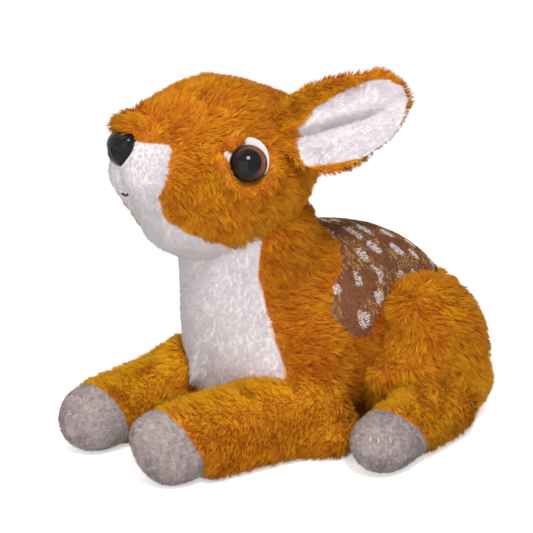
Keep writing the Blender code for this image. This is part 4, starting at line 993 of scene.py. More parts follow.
class FAWN_OT_body(bpy.types.Operator):
    """The stuffed body with the neck's foot, its white bib and its printed saddle"""
    bl_idname = "fawn.body"
    bl_label = "Body, bib and saddle"

    def execute(self, context):
        look, colours = settings()
        skin = body_rings(look.inset)
        skin.shifted(body_shape(skin.vertices)).grounded()
        flat = skin.vertices[:, 1:]
        bib = step(0.6 * MM, -0.6 * MM, flat_distance(flat, BIB))
        saddle = step(1.5 * MM, -0.5 * MM, flat_distance(flat, SADDLE))
        orange_skin("body_skin", skin, "body", 0.75, Dye=bib, Ground=saddle)
        rng = np.random.default_rng(look.seed)

        roots, normals = skin.sown(look.per_area / MM ** 2, rng)
        edge = np.minimum(flat_distance(roots[:, 1:], BIB), flat_distance(roots[:, 1:], SADDLE))
        others = [f for side in SIDES for f in neighbours(side)] + [lambda p: head_field(p, 0)]
        keep = (edge > PANEL_GAP) & clear_of(roots, *others) & above_ground(roots)
        roots, normals, edge = roots[keep], normals[keep], edge[keep]
        length = look.length * (0.62 + 0.38 * step(0, 6 * MM, edge))
        tone = tones(roots, rng, 0.29, 22, 5)
        parts = np.where(roots[:, 1] < 8 * MM, np.where(roots[:, 2] > 55 * MM, 0, 1), 2)
        for number, name in enumerate(("neck_pile", "chest_pile", "flank_pile")):
            mine = parts == number
            orange_over(name, roots[mine], normals[mine], body_flow(roots[mine]), length[mine], tone[mine],
                        "body", 20 + number)

        roots, normals = skin.sown(look.short_per_area / MM ** 2, rng)
        in_bib = (flat_distance(roots[:, 1:], BIB) < 0) & clear_of(roots, *others)
        in_saddle = (flat_distance(roots[:, 1:], SADDLE) < 0) & clear_of(roots, *others)
        mine = roots[in_bib]
        tone = tones(mine, rng, 0.5, 8, 7, 0.3, 0.15)
        white_over("bib_pile", mine, normals[in_bib], lying((0, -0.2, -1), mine),
                   look.short, look.fine, tone, "body", 30, "bib")
        mine = roots[in_saddle]
        kind = spots(mine, look.seed + 3)
        shade = np.clip(tones(mine, rng, 0.5, 6, 8, 0.25), 0, 1)
        tone = np.choose(kind, [shade * 0.46, 0.5 + shade * 0.22, 0.78 + shade * 0.2])
        pile("saddle_pile", mine, normals[in_saddle], lying((0, 1, -0.2), mine),
             look.short * 0.6, look.fine * 1.3, tone,
             printed_material("printed_pile", colours), "body", "printed_plush", 31, clump=0, pull=0.2,
             nodes=("saddle",))
        return {"FINISHED"}


# The head

def eye_places(own):
    """Places round the nearer eye, for points in the head's frame: how far towards the nape and
    up they lie, and how much the felt shows there, from 0 to 1. It shows in a crescent above and
    behind the eye, and a little in front of it."""
    place = moved(mirrored(own), np.linalg.inv(eye_matrix("left")))
    angle = np.arctan2(place[:, 1], place[:, 0])
    crescent = step(*CRESCENT[0], angle) * step(*CRESCENT[1], angle)
    corner = np.exp(-((angle - CORNER[0]) / CORNER[1]) ** 2)
    return place, np.maximum(crescent, corner)


def head_shape(points):
    """How far the head's skin is pushed out, at points in the head's frame: its bulges, lids
    round each eye, a seam between two lobes under the nose, and a crease along the seam from the
    muzzle's corner to the eye."""
    total = bulges(points, HEAD_BULGES)
    far = np.linalg.norm((points / MM - np.array(FAR_CHEEK)) / np.array(FAR_CHEEK_SIZE), axis=1)
    total += FAR_CHEEK_HEIGHT * MM * np.exp(-far ** 2)
    total += 0.9 * MM * step(3 * MM, -3 * MM, muzzle_edge(points))
    place, bare = eye_places(points)
    gap = np.hypot(place[:, 0], place[:, 1])
    front = step(100 * DEG, 130 * DEG, np.abs(np.arctan2(place[:, 1], place[:, 0])))
    lid = np.exp(-((gap - (10.4 - front) * MM) / (3.0 * MM)) ** 2)
    total += (4.4 + 1.4 * front) * MM * lid * (1 - bare)
    total -= 2.6 * MM * np.exp(-(gap / (7 * MM)) ** 2)
    middle = np.exp(-(points[:, 0] / (1.3 * MM)) ** 2) * step(13 * MM, 9 * MM, points[:, 2])
    total -= 0.9 * MM * middle * step(-48 * MM, -53 * MM, points[:, 1])
    return total - GUSSET_DEPTH * gusset(points)


def gusset(points):
    """How near points in the head's frame lie to the seam from the muzzle's corner to the eye,
    from 0 to 1: a bell of the distance to a bent line."""
    near = mirrored(points)
    seam = np.array(GUSSET) * MM
    crease = np.zeros(len(points))
    for start, end in zip(seam[:-1], seam[1:]):
        edge = end - start
        along = np.clip(((near - start) @ edge) / (edge @ edge), 0, 1)
        away = np.linalg.norm(near - start - along[:, None] * edge, axis=1)
        crease = np.maximum(crease, np.exp(-(away / GUSSET_WIDTH) ** 2))
    return crease


def muzzle_edge(points):
    """Distance of points in the head's frame to the muzzle's outline. Below the nose the right
    cheek's pile reaches further forward than the left one's."""
    ahead = 9 * MM * step(-5 * MM, -11 * MM, points[:, 0]) * step(3 * MM, -1 * MM, points[:, 2])
    return flat_distance(np.stack([points[:, 1] + ahead, points[:, 2]], 1), MUZZLE)


def head_rings(inset):
    """The head's grid: ovals across its length, as wide and tall as its tables say."""
    back, front = HEAD_ENDS[0] - inset, HEAD_ENDS[1] + inset
    middle, reach = (back + front) / 2, (back - front) / 2
    place = np.linspace(0.012, 0.988, 84)
    swell = np.sin(np.pi * place)
    wide = HEAD_SIZE[0] / 2 * swell * eased(HEAD_WIDE, place) - inset * np.sqrt(swell)
    tall = HEAD_SIZE[1] / 2 * swell * eased(HEAD_TALL, place) - inset * np.sqrt(swell)
    zero = np.zeros(len(place))
    along = middle + reach * np.cos(np.pi * place)
    middles = np.stack([zero, along, HEAD_SIZE[1] * eased(HEAD_CENTRE, place)], 1)
    round_ = circle(96)
    points = rings_along(middles, np.stack([wide, zero, zero], 1), np.stack([zero, zero, tall], 1), round_)
    skin = Skin(points)
    return skin.shifted(head_shape(skin.vertices))


def head_flow(points):
    """The pile's lie in the head's frame: back from the nose, and down over the cheeks."""
    cheek = step(0.3, 0.8, np.abs(points[:, 0]) / (34 * MM)) * step(24 * MM, 4 * MM, points[:, 2])
    flow = np.tile([0.0, 1.0, 0.0], (len(points), 1))
    flow[:, 2] = -0.9 * cheek
    flow[:, 0] = 0.25 * np.sign(points[:, 0]) * step(-50 * MM, -20 * MM, points[:, 1])
    return flow


def eye_matrix(side, out=0.0):
    """Places a piece whose axis is Z at an eye, moved out along the eye's axis."""
    sign = SIDES[side]
    look = Vector((sign * math.cos(EYE_LOOK_UP) * math.cos(EYE_TURN),
                   -math.cos(EYE_LOOK_UP) * math.sin(EYE_TURN), math.sin(EYE_LOOK_UP)))
    turn = look.to_track_quat("Z", "Y").to_matrix().to_4x4()
    seat = Vector((sign * EYE_SEAT[0], *EYE_SEAT[1:])) + look * out
    return np.array(Matrix.Translation(seat) @ turn)


class FAWN_OT_head(bpy.types.Operator):
    """The stuffed head with its orange cheeks and crown and its white muzzle"""
    bl_idname = "fawn.head"
    bl_label = "Head and muzzle"

    def execute(self, context):
        look = settings()[0]
        skin = head_rings(look.inset)
        muzzle = step(0.6 * MM, -0.6 * MM, muzzle_edge(skin.vertices))
        skin.placed(HEAD)
        orange_skin("head_skin", skin, "head", 0.85, Dye=muzzle)
        rng = np.random.default_rng(look.seed + 1)

        roots, normals = skin.sown(look.per_area * 1.15 / MM ** 2, rng)
        own = moved(roots, HEAD_BACK)
        edge = muzzle_edge(own)
        place, bare = eye_places(own)
        eye = np.hypot(place[:, 0], place[:, 1]) + 20 * MM * (place[:, 2] < -12 * MM)
        nose = np.linalg.norm(own - np.array(NOSE_SEAT), axis=1)
        keep = (edge > PANEL_GAP) & (eye > EYE_CLEAR + FELT_CLEAR * bare) & (nose > NOSE_CLEAR)
        keep &= clear_of(roots, lambda p: body_field(p, 0))
        roots, normals, own, edge, eye, place = (a[keep] for a in (roots, normals, own, edge, eye, place))
        length = look.length * 0.92 * (0.6 + 0.4 * step(0, 5 * MM, edge))
        length *= 0.55 + 0.45 * step(9 * MM, 17 * MM, eye)
        tuft = bulge(own, *TUFT, 1 / MM)
        length *= 0.8 + 0.2 * step(-56 * MM, -34 * MM, own[:, 1]) + 0.9 * tuft
        out = np.stack([place[:, 0], place[:, 1], 0 * eye], 1) / eye[:, None]
        one = np.ones(len(own))
        out = turned_only(out, eye_matrix("left")) * np.stack([np.sign(own[:, 0]), one, one], 1)
        rear = step(120 * DEG, 80 * DEG, np.abs(np.arctan2(place[:, 1], place[:, 0])))
        round_eye = 1.6 * rear * np.exp(-((eye - 8 * MM) / (3.5 * MM)) ** 2)
        flow = head_flow(own) + out * round_eye[:, None] + tuft[:, None] * np.array([0, -3.0, 0.1])
        flow = turned_only(flow, HEAD)
        tone = tones(roots, rng, 0.46, 20, 6)
        # Painted shade: the pile darkens along the crease from the muzzle's corner to the eye, and a little
        # high on the head.
        tone -= 0.5 * gusset(own) + 0.1 * step(16 * MM, 30 * MM, own[:, 2])
        parts = np.where(own[:, 1] < -14 * MM, 0, 1)
        for number, name in enumerate(("face_pile", "crown_pile")):
            mine = parts == number
            orange_over(name, roots[mine], normals[mine], flow[mine], length[mine], tone[mine], "head",
                        40 + number)

        roots, normals = skin.sown(look.short_per_area * 1.2 / MM ** 2, rng)
        own = moved(roots, HEAD_BACK)
        nose = (own - np.array(NOSE_SEAT)) / np.array([7.2, 9, 7.6]) / MM
        mouth = np.hypot(own[:, 2] - MOUTH_UP, own[:, 0] * 0.16) + 10 * MM * (own[:, 1] > -52 * MM)
        keep = (muzzle_edge(own) < 0) & (np.linalg.norm(nose, axis=1) > 1)
        keep &= clear_of(roots, lambda p: body_field(p, 0)) & (mouth > MOUTH_CLEAR)
        roots, normals, own = roots[keep], normals[keep], own[keep]
        tone = tones(roots, rng, 0.5, 7, 9, 0.3, 0.15)
        length = look.short * (0.8 + 0.4 * step(-58 * MM, -44 * MM, own[:, 1]))
        flow = lying((0, 0.7, -0.7), own, HEAD)
        white_over("muzzle_pile", roots, normals, flow, length, look.fine * 0.9, tone, "head", 45, "muzzle")
        return {"FINISHED"}


class FAWN_OT_neck(bpy.types.Operator):
    """The stuffed ball in the neck, on which the head turns"""
    bl_idname = "fawn.neck"
    bl_label = "Neck ball"

    def execute(self, context):
        orange_skin("neck_ball", ball_skin(NECK_MIDDLE, (NECK_BALL * 0.9,) * 3), "neck", 0.9)
        return {"FINISHED"}


def ball_skin(centre, radii, rows=24, sides=32):
    """An ellipsoid: rings of cosine radius at sine heights, with a little unevenness."""
    place = np.linspace(-0.47, 0.47, rows) * np.pi
    round_ = circle(sides)
    points = np.stack([np.cos(place)[:, None] * np.cos(round_), np.cos(place)[:, None] * np.sin(round_),
                       np.repeat(np.sin(place)[:, None], sides, 1)], 2)
    points = points * (1 + 0.02 * waves(points, 0.9, 3, 1))
    return Skin(points * np.array(radii) + np.array(centre))


# Ears, legs and tail

def ear_matrix(side):
    """An ear's frame: its length along X, its hollow along Z."""
    sign = SIDES[side]
    along, hollow = (Vector((sign * shares[side][0], *shares[side][1:]))
                     for shares in (EAR_ALONG, EAR_FACING))
    along.normalize()
    hollow = (hollow - along * hollow.dot(along)).normalized()
    turn = Matrix((along, hollow.cross(along), hollow)).transposed().to_4x4()
    root = Vector((sign * EAR_ROOT[0], *EAR_ROOT[1:]))
    return HEAD @ np.array(Matrix.Translation(root) @ turn)


def ear_rings(side):
    """An ear's grid: across each ring the face curls up with the square of the place across.
    The leaf is thickest in its middle, and its face has a deep fold with a lip above it."""
    place = np.linspace(0.03, 0.985, 46)
    upper, lower = (eased(edge, place)[:, None] * MM for edge in EAR_EDGES[side])
    along = -5 * MM + (EAR_SIZE[0] + 5.5 * MM) * place
    curl = EAR_HOLLOW * EAR_CURLED[side] * eased(EAR_CURL, place)
    round_ = circle(72)
    across, thick = np.cos(round_), np.sin(round_)
    thick = np.sign(thick) * np.abs(thick) ** 0.8
    high = across * SIDES[side]
    depth = curl[:, None] * across ** 2 - EAR_THICK * 0.5 + thick * (EAR_THICK * 0.38)
    fade = np.sin(np.pi * np.clip(place * 1.2, 0, 1))[:, None] ** 0.7
    fold = 2.2 * np.exp(-((high - 0.06) / 0.2) ** 2) - 3.4 * np.exp(-((high + 0.17) / 0.12) ** 2)
    depth += fold * MM * fade * (thick > 0)
    points = np.stack([np.repeat(along[:, None], 72, 1), np.where(high > 0, upper, lower) * across, depth], 2)
    return Skin(points)


class FAWN_OT_ears(bpy.types.Operator):
    """Both ears: orange behind, lined in white"""
    bl_idname = "fawn.ears"
    bl_label = "Ears"

    def execute(self, context):
        look = settings()[0]
        for number, side in enumerate(SIDES):
            skin = ear_rings(side)
            own = skin.vertices.copy()
            matrix = ear_matrix(side)
            back = np.linalg.inv(matrix)
            lined = step(0.1, 0.3, skin.normals[:, 2])
            lined = lined * step(0.5 * MM, -0.5 * MM, self.lining_edge(own, side))
            skin.placed(matrix)
            body = "ear_" + side
            orange_skin("ear_skin_" + side, skin, body, 0.4, Dye=lined)
            rng = np.random.default_rng(look.seed + 60 + number)
            for lining in (False, True):
                per_area = look.short_per_area * 1.1 if lining else look.per_area * 1.1
                roots, normals = skin.sown(per_area / MM ** 2, rng)
                own = moved(roots, back)
                facing = turned_only(normals, back)[:, 2]
                inner = (facing > 0.1) & (self.lining_edge(own, side) < 0)
                keep = (inner if lining else ~inner) & clear_of(roots, lambda p: head_field(p, 0))
                roots, normals, own, facing = roots[keep], normals[keep], own[keep], facing[keep]
                spread = np.sign(own[:, 1]) * step(0, 14 * MM, np.abs(own[:, 1]))
                spread = spread * (0.5 if lining else 0.7 + 1.1 * step(-0.2, 0.3, facing))
                lie = np.stack([np.ones(len(own)), spread, np.zeros(len(own))], 1)
                tone = tones(roots, rng, 0.5, 12, 12, 0.2, 0.18)
                if lining:
                    white_over("ear_lining_pile_" + side, roots, normals, turned_only(lie, matrix),
                               look.short * 1.15, look.fine, tone, body, 62 + number,
                               "ear_lining_" + side)
                else:
                    lower = step(0, -10 * MM, own[:, 1] * SIDES[side]) * step(26 * MM, 36 * MM, own[:, 0])
                    orange_over("ear_pile_" + side, roots, normals, turned_only(lie, matrix),
                                look.length * (0.85 - 0.45 * lower), tone, body, 64 + number, pull=0.35)
        return {"FINISHED"}

    def lining_edge(self, own, side):
        """Distance to the lining's outline, from points in the ear's frame."""
        return flat_distance(np.stack([own[:, 0], own[:, 1] * SIDES[side]], 1), np.array(LINING) * MM)


def limb_rings(size, taper, heel, inset, rows=30):
    """A limb along -Y: ovals that narrow towards the hoof, with a round heel or root behind."""
    length, wide, tall = size
    place = np.linspace(0, 1, rows)
    turn = np.linspace(0.08, 1, 12)[:-1] * np.pi / 2
    along = np.concatenate([heel * np.cos(turn), -(length - 1 * MM) * place])
    drawn = np.concatenate([np.sin(turn), np.ones(rows)])
    drawn[-4:] *= (0.97, 0.9, 0.78, 0.5)
    narrow = np.concatenate([np.ones(len(turn)), 1 + (taper - 1) * place])
    half = tall / 2 * narrow
    zero = np.zeros(len(along))
    middles = np.stack([zero, along, half], 1)
    across = np.stack([(wide / 2 * narrow - inset) * drawn, zero, zero], 1)
    up = np.stack([zero, zero, (half - inset * 0.5) * drawn], 1)
    return Skin(rings_along(middles, across, up, circle(56)))


def hoof_rings(back, length, wide, tall, inset, lift=0.1, rows=34):
    """A blunt hoof along -Y: it swells a little, and closes like a power of its length. Lift
    is how high its tip is, in shares of its height."""
    place = np.linspace(-0.25, 0.985, rows)
    swell = (1 - np.clip(place, 0, 1) ** 3.4) ** 0.5 * (1 + 0.05 * np.sin(np.pi * place))
    swell[:3] *= (0.7, 0.93, 1.0)
    middle = tall / 2 + (1 - swell) * tall * lift
    zero = np.zeros(rows)
    middles = np.stack([zero, back - length * place, middle], 1)
    across = np.stack([(wide / 2 - inset) * swell, zero, zero], 1)
    up = np.stack([zero, zero, (tall / 2 - inset * 0.6) * swell], 1)
    return Skin(rings_along(middles, across, up, circle(56)))


def front_leg_rings(side, inset):
    """A foreleg's grid: level rays from a line through the limb find its skin."""
    length = FRONT_LEG[0]
    line = np.linspace(12 * MM, -length + 1.5 * MM, 46)
    height = np.interp(line, [-length, -10 * MM, 12 * MM], [14 * MM, 16 * MM, 18 * MM])
    zero = np.zeros(len(line))
    middles = moved(np.stack([zero, line, height], 1), shoulder_matrix(side))
    round_ = circle(72)
    aim = (np.cos(round_)[None, :, None] * np.array([1.0, 0, 0])
           + np.sin(round_)[None, :, None] * np.array([0, 0, 1.0]))
    aim = turned_only(np.broadcast_to(aim, (len(line), 72, 3)), shoulder_matrix(side))
    centres = np.broadcast_to(middles[:, None], aim.shape)
    return Skin(burst(centres, aim, 40 * MM, lambda p: leg_field(p, side, inset)))


def seam_distance(own, seam):
    """How far points in a leg's frame lie behind its slanting hoof seam, towards the body."""
    return own[:, 1] - seam[0] - seam[1] * own[:, 2]


def sow_hoof(skin, name, body, matrix, seam, seed):
    """Short grey pile over a hoof up to its slanting seam. Gives the roots behind the seam, where
    the leg's own pile goes on: (points, normals)."""
    look, colours = settings()
    rng = np.random.default_rng(look.seed + seed)
    back = np.linalg.inv(matrix)
    light = tuple(c * 0.8 for c in colours.grey)
    # Painted shade: the cloth's darker patches, and its orange part behind the seam, take the pile's root
    # colours.
    cloth = cloth_material("grey_cloth", colours.grey_root, light, colours.orange_root)
    covered = step(-0.6 * MM, 0.6 * MM, seam_distance(moved(skin.vertices, back), seam))
    stuffed(name + "_skin", skin, cloth, body, "grey_plush", 0.8, (name,), Dye=covered)
    roots, normals = skin.sown(look.short_per_area * 1.1 / MM ** 2, rng)
    keep = above_ground(roots)
    roots, normals = roots[keep], normals[keep]
    front = seam_distance(moved(roots, back), seam) < 0
    own = ~front & (rng.random(len(roots)) < look.per_area / look.short_per_area)
    behind = roots[own], normals[own]
    roots, normals = roots[front], normals[front]
    flow = lying((0, -1, -0.4), roots, matrix)
    tone = tones(roots, rng, 0.5, 3.5, seed, 0.25, 0.15)
    pile(name + "_pile", roots, normals, flow, look.short * 0.9, look.fine, tone,
         grey_pile(colours), body, "grey_plush", seed, clump=0.2)
    return behind


def sow_leg(hoof, side, limb, matrix, length, seam, sown, seed, fields):
    """The roots of a leg's orange pile: those on its skin short of the hoof, and those on the
    hoof behind its seam, clear of the given fields. Sown holds the skin's own roots and their
    normals. Gives (points, normals, distances to the seam)."""
    name = f"{limb}_hoof_{side}"
    behind = sow_hoof(hoof, name, f"{limb}_leg_{side}", matrix, seam, seed)
    back = np.linalg.inv(matrix)
    short_of = moved(sown[0], back)[:, 1] > -length + 0.6 * MM
    roots, normals = (np.concatenate([own[short_of], more]) for own, more in zip(sown, behind))
    end = seam_distance(moved(roots, back), seam)
    keep = above_ground(roots) & (end > 0) & clear_of(roots, *fields)
    return roots[keep], normals[keep], end[keep]


def stitched(hoof, side, matrix, name, body):
    """The stitches that close a hind hoof: each is a short upright thread, bowed over the hoof's
    nearest point and standing as high as its pile."""
    own = moved(hoof.vertices, np.linalg.inv(matrix))
    thread = cloth_material("stitch_thread", (0.42, 0.38, 0.36), (0.6, 0.55, 0.53))
    bow = np.linspace(-1, 1, 11)
    for number, x in enumerate(STITCHES):
        gap = np.hypot(own[:, 0] - x * SIDES[side], own[:, 2] - STITCH_UP)
        nearest = (gap + (own[:, 1] > -HIND_LEG[0] - 6 * MM)).argmin()
        out = hoof.normals[nearest]
        up = unit(np.array([0, 0, 1.0]) - out * out[2])
        middles = (hoof.vertices[nearest] + out * (0.3 * MM + 1.3 * MM * (1 - bow ** 4))[:, None]
                   + up * (bow * STITCH_LONG / 2)[:, None])
        thin = np.tile(STITCH_RADIUS, (len(bow), 1))
        rings = rings_along(middles, np.cross(up, out) * thin, out * thin, circle(10))
        skin = Skin(rings)
        mesh = mesh_from(name + str(number), skin.vertices, [skin.quads, skin.caps])
        piece(name + "_stitch_" + str(number), mesh, thread, body)


class FAWN_OT_front_legs(bpy.types.Operator):
    """Both forelegs with their grey hooves"""
    bl_idname = "fawn.front_legs"
    bl_label = "Front legs and hooves"

    def execute(self, context):
        look = settings()[0]
        for number, side in enumerate(SIDES):
            matrix = shoulder_matrix(side)
            body = "front_leg_" + side
            skin = front_leg_rings(side, look.inset).grounded()
            orange_skin("front_leg_skin_" + side, skin, body, 0.7)
            rng = np.random.default_rng(look.seed + 70 + number)
            sown = skin.sown(look.per_area / MM ** 2, rng)
            hoof = hoof_rings(-FRONT_LEG[0], FRONT_HOOF, FRONT_LEG[1] * FRONT_HOOF_SHARES[0],
                              FRONT_TALL[side] * FRONT_HOOF_SHARES[1], HOOF_INSET, FRONT_LIFT[side])
            hoof.placed(matrix).grounded()
            roots, normals, end = sow_leg(hoof, side, "front", matrix, FRONT_LEG[0], FRONT_SEAM[side],
                                          sown, 74 + number, [lambda p: body_field(p, 0)])
            length = look.length * 0.92 * (0.6 + 0.4 * step(0, 8 * MM, end))
            flow = lying((0, -1, -0.35), roots, matrix)
            # Painted light: the pile is lighter on top of the leg, where it faces up.
            tone = tones(roots, rng, FRONT_TONE[side], 18, 13) + 0.42 * step(0.1, 0.8, normals[:, 2])
            orange_over("front_leg_pile_" + side, roots, normals, flow, length, tone, body, 72 + number)
        return {"FINISHED"}


def thigh_rings(side, inset):
    """A haunch's grid: its profile of out and round, turned about a sideways axis."""
    place = np.linspace(0.012, 0.93, 52)
    out = np.clip(eased(THIGH_OUT, place), 0, 1) * (HIP[0] - HIP_INNER) + HIP_INNER
    out = np.minimum(out, HIP[0] - inset * step(0.35, 0.0, place))
    radius = np.maximum(THIGH_RADIUS * eased(THIGH_ROUND, place) - inset * step(0, 0.3, place), 0.6 * MM)
    hip = hip_place(side)
    round_ = circle(96)
    sag = sum(height * np.exp(-((np.cos(round_ - angle * DEG) - 1) / wide) ** 2)
              for angle, wide, height in THIGH_SAGS)
    radius = radius[:, None] * (1 + sag)
    points = np.stack([np.repeat((SIDES[side] * out)[:, None], 96, 1),
                       hip[1] + radius * np.cos(round_), hip[2] + radius * np.sin(round_)], 2)
    return Skin(points)


def drawn_in(skin, side):
    """Bows a hind leg a little towards the belly as it nears the hoof."""
    share = np.clip(-skin.vertices[:, 1] / HIND_LEG[0], 0, 1.2)
    skin.vertices[:, 0] -= SIDES[side] * 2.2 * MM * share
    skin.settle()
    return skin


def hock_matrix(side):
    sign = SIDES[side]
    place = (sign * HOCK[0], HOCK[1] + HIP_DRAWN_BACK[side], 0)
    return matrix_of((("Z", sign * HIND_TURN[side]),), place)


class FAWN_OT_hind_legs(bpy.types.Operator):
    """Both haunches with the folded hind legs and their hooves"""
    bl_idname = "fawn.hind_legs"
    bl_label = "Haunches, hind legs and hooves"

    def execute(self, context):
        look = settings()[0]
        for number, side in enumerate(SIDES):
            matrix = hock_matrix(side)
            body = "hind_leg_" + side
            skin = thigh_rings(side, look.inset + 1.2 * MM).grounded()
            orange_skin("thigh_skin_" + side, skin, body, 0.8, "thigh_" + side)
            leg = drawn_in(limb_rings(HIND_LEG, HIND_TAPER, HEEL, look.inset * 0.8), side)
            leg.placed(matrix).grounded()
            orange_skin("hind_leg_skin_" + side, leg, body, 0.7)
            rng = np.random.default_rng(look.seed + 80 + number)
            roots, normals = skin.sown(look.per_area / MM ** 2, rng)
            keep = above_ground(roots) & clear_of(roots, lambda p: body_field(p, 0))
            roots, normals = roots[keep], normals[keep]
            # Painted light: the haunch's pile is lighter on its lower part, near the ground.
            tone = tones(roots, rng, 0.5, 20, 14) + 0.25 * step(45 * MM, 15 * MM, roots[:, 2])
            off = roots - hip_place(side)
            flow = np.stack([0 * off[:, 0] + SIDES[side] * 0.1, 0.55 - off[:, 2] / (60 * MM),
                             -0.75 + off[:, 1] / (60 * MM)], 1)
            orange_over("thigh_pile_" + side, roots, normals, flow, look.length, tone,
                        body, 82 + number)
            sown = leg.sown(look.per_area / MM ** 2, rng)
            hoof = hoof_rings(-HIND_LEG[0] - 1 * MM, HIND_HOOF, HIND_LEG[1] * HIND_HOOF_SHARES[0],
                              HIND_LEG[2] * HIND_HOOF_SHARES[1], HOOF_INSET)
            hoof = drawn_in(hoof, side).placed(matrix).grounded()
            fields = [lambda p: thigh_field(p, side, 0), lambda p: body_field(p, 0)]
            roots, normals, end = sow_leg(hoof, side, "hind", matrix, HIND_LEG[0], HIND_SEAM, sown,
                                          86 + number, fields)
            stitched(hoof, side, matrix, "hind_hoof_" + side, body)
            length = look.length * 0.85 * (0.55 + 0.45 * step(0, 8 * MM, end))
            flow = lying((0, -1, -0.3), roots, matrix)
            # Painted light: a lighter base tone than the haunch's, and lighter still where the pile faces up.
            tone = tones(roots, rng, 0.6, 18, 15) + 0.3 * step(0.1, 0.8, normals[:, 2])
            orange_over("hind_leg_pile_" + side, roots, normals, flow, length, tone, body, 84 + number)
        return {"FINISHED"}


class FAWN_OT_tail(bpy.types.Operator):
    """The short tail"""
    bl_idname = "fawn.tail"
    bl_label = "Tail"

    def execute(self, context):
        look = settings()[0]
        length, wide = TAIL_SIZE
        place = np.linspace(0.03, 0.97, 26)
        half = (wide / 2 * np.sin(np.pi * place ** 0.75) ** 0.6) - 1 * MM * np.sin(np.pi * place)
        zero = np.zeros(len(place))
        middles = np.stack([zero, zero, 3 * MM - (length + 1 * MM) * place], 1)
        rings = rings_along(middles, np.stack([half, zero, zero], 1), np.stack([zero, half * 0.62, zero], 1),
                            circle(40))
        matrix = matrix_of((("X", TAIL_DROOP),), TAIL_ROOT)
        skin = Skin(rings).placed(matrix)
        orange_skin("tail_skin", skin, "tail", 0.5)
        rng = np.random.default_rng(look.seed + 90)
        roots, normals = skin.sown(look.per_area * 1.2 / MM ** 2, rng)
        flow = lying((0, 0, -1), roots, matrix)
        tone = tones(roots, rng, 0.5, 20, 16, 0)
        orange_over("tail_pile", roots, normals, flow, look.length, tone, "tail", 91)
        return {"FINISHED"}


# Eyes, nose and mouth

def button_rings(radius, height, edge, rows=26, sides=56):
    """A button's face and rim in its own frame: sine radius and cosine height, then a foot."""
    turn = np.linspace(0.02, 1, rows) * np.pi / 2
    wide = np.concatenate([radius * np.sin(turn), [radius * 0.995, radius * 0.9, radius * 0.5]])
    high = np.concatenate([height * np.cos(turn), [-edge * 0.6, -edge, -edge]])
    round_ = circle(sides)
    points = np.stack([wide[:, None] * np.cos(round_), wide[:, None] * np.sin(round_),
                       np.repeat(high[:, None], sides, 1)], 2)
    return Skin(points)


def eye_material(colours):
    """A moulded eye: a black pupil, a brown ring that is brightest towards the nape and the
    brow, and a dark rim, all by the place on its face. The ring's brightness there is painted
    light, as if lamplight lit it through the clear dome, and it fades to painted shade elsewhere."""
    material, tree, shader = blank("eye_gloss", 0.04)
    place = tree.nodes.new("ShaderNodeAttribute")
    place.attribute_name = "FacePlace"
    split = tree.nodes.new("ShaderNodeSeparateXYZ")
    tree.links.new(place.outputs["Vector"], split.inputs[0])
    x, y = maths(tree, "ADD", split.outputs[0], 0.05), split.outputs[1]
    squares = maths(tree, "MULTIPLY", x, x), maths(tree, "MULTIPLY", y, y)
    out = maths(tree, "SQRT", maths(tree, "ADD", *squares))
    stops = ((0.0, 0), (0.66, 0), (0.70, 1), (0.90, 1), (0.97, 0))
    ring = ramp_of(tree, out, [(at, (value,) * 3) for at, value in stops])
    # Painted light and shade on the ring: lighter towards the nape and the brow, dark elsewhere
    lit = maths(tree, "ADD", maths(tree, "MULTIPLY", x, 0.6), maths(tree, "MULTIPLY_ADD", y, 0.5, 0.2))
    lit.node.use_clamp = True
    fibres = tree.nodes.new("ShaderNodeTexNoise")
    fibres.inputs["Scale"].default_value = 9
    tree.links.new(place.outputs["Vector"], fibres.inputs["Vector"])
    lit = maths(tree, "MULTIPLY", lit, maths(tree, "ADD", fibres.outputs["Fac"], 0.6))
    bright = tuple(min(c * 1.25, 1) for c in colours.iris)
    iris = mixed(tree, lit, (0.012, 0.003, 0.002, 1), (*bright, 1))
    colour = mixed(tree, ring, (*colours.black, 1), iris)
    tree.links.new(colour, shader.inputs["Base Color"])
    shader.inputs["Specular IOR Level"].default_value = 0.14
    return material


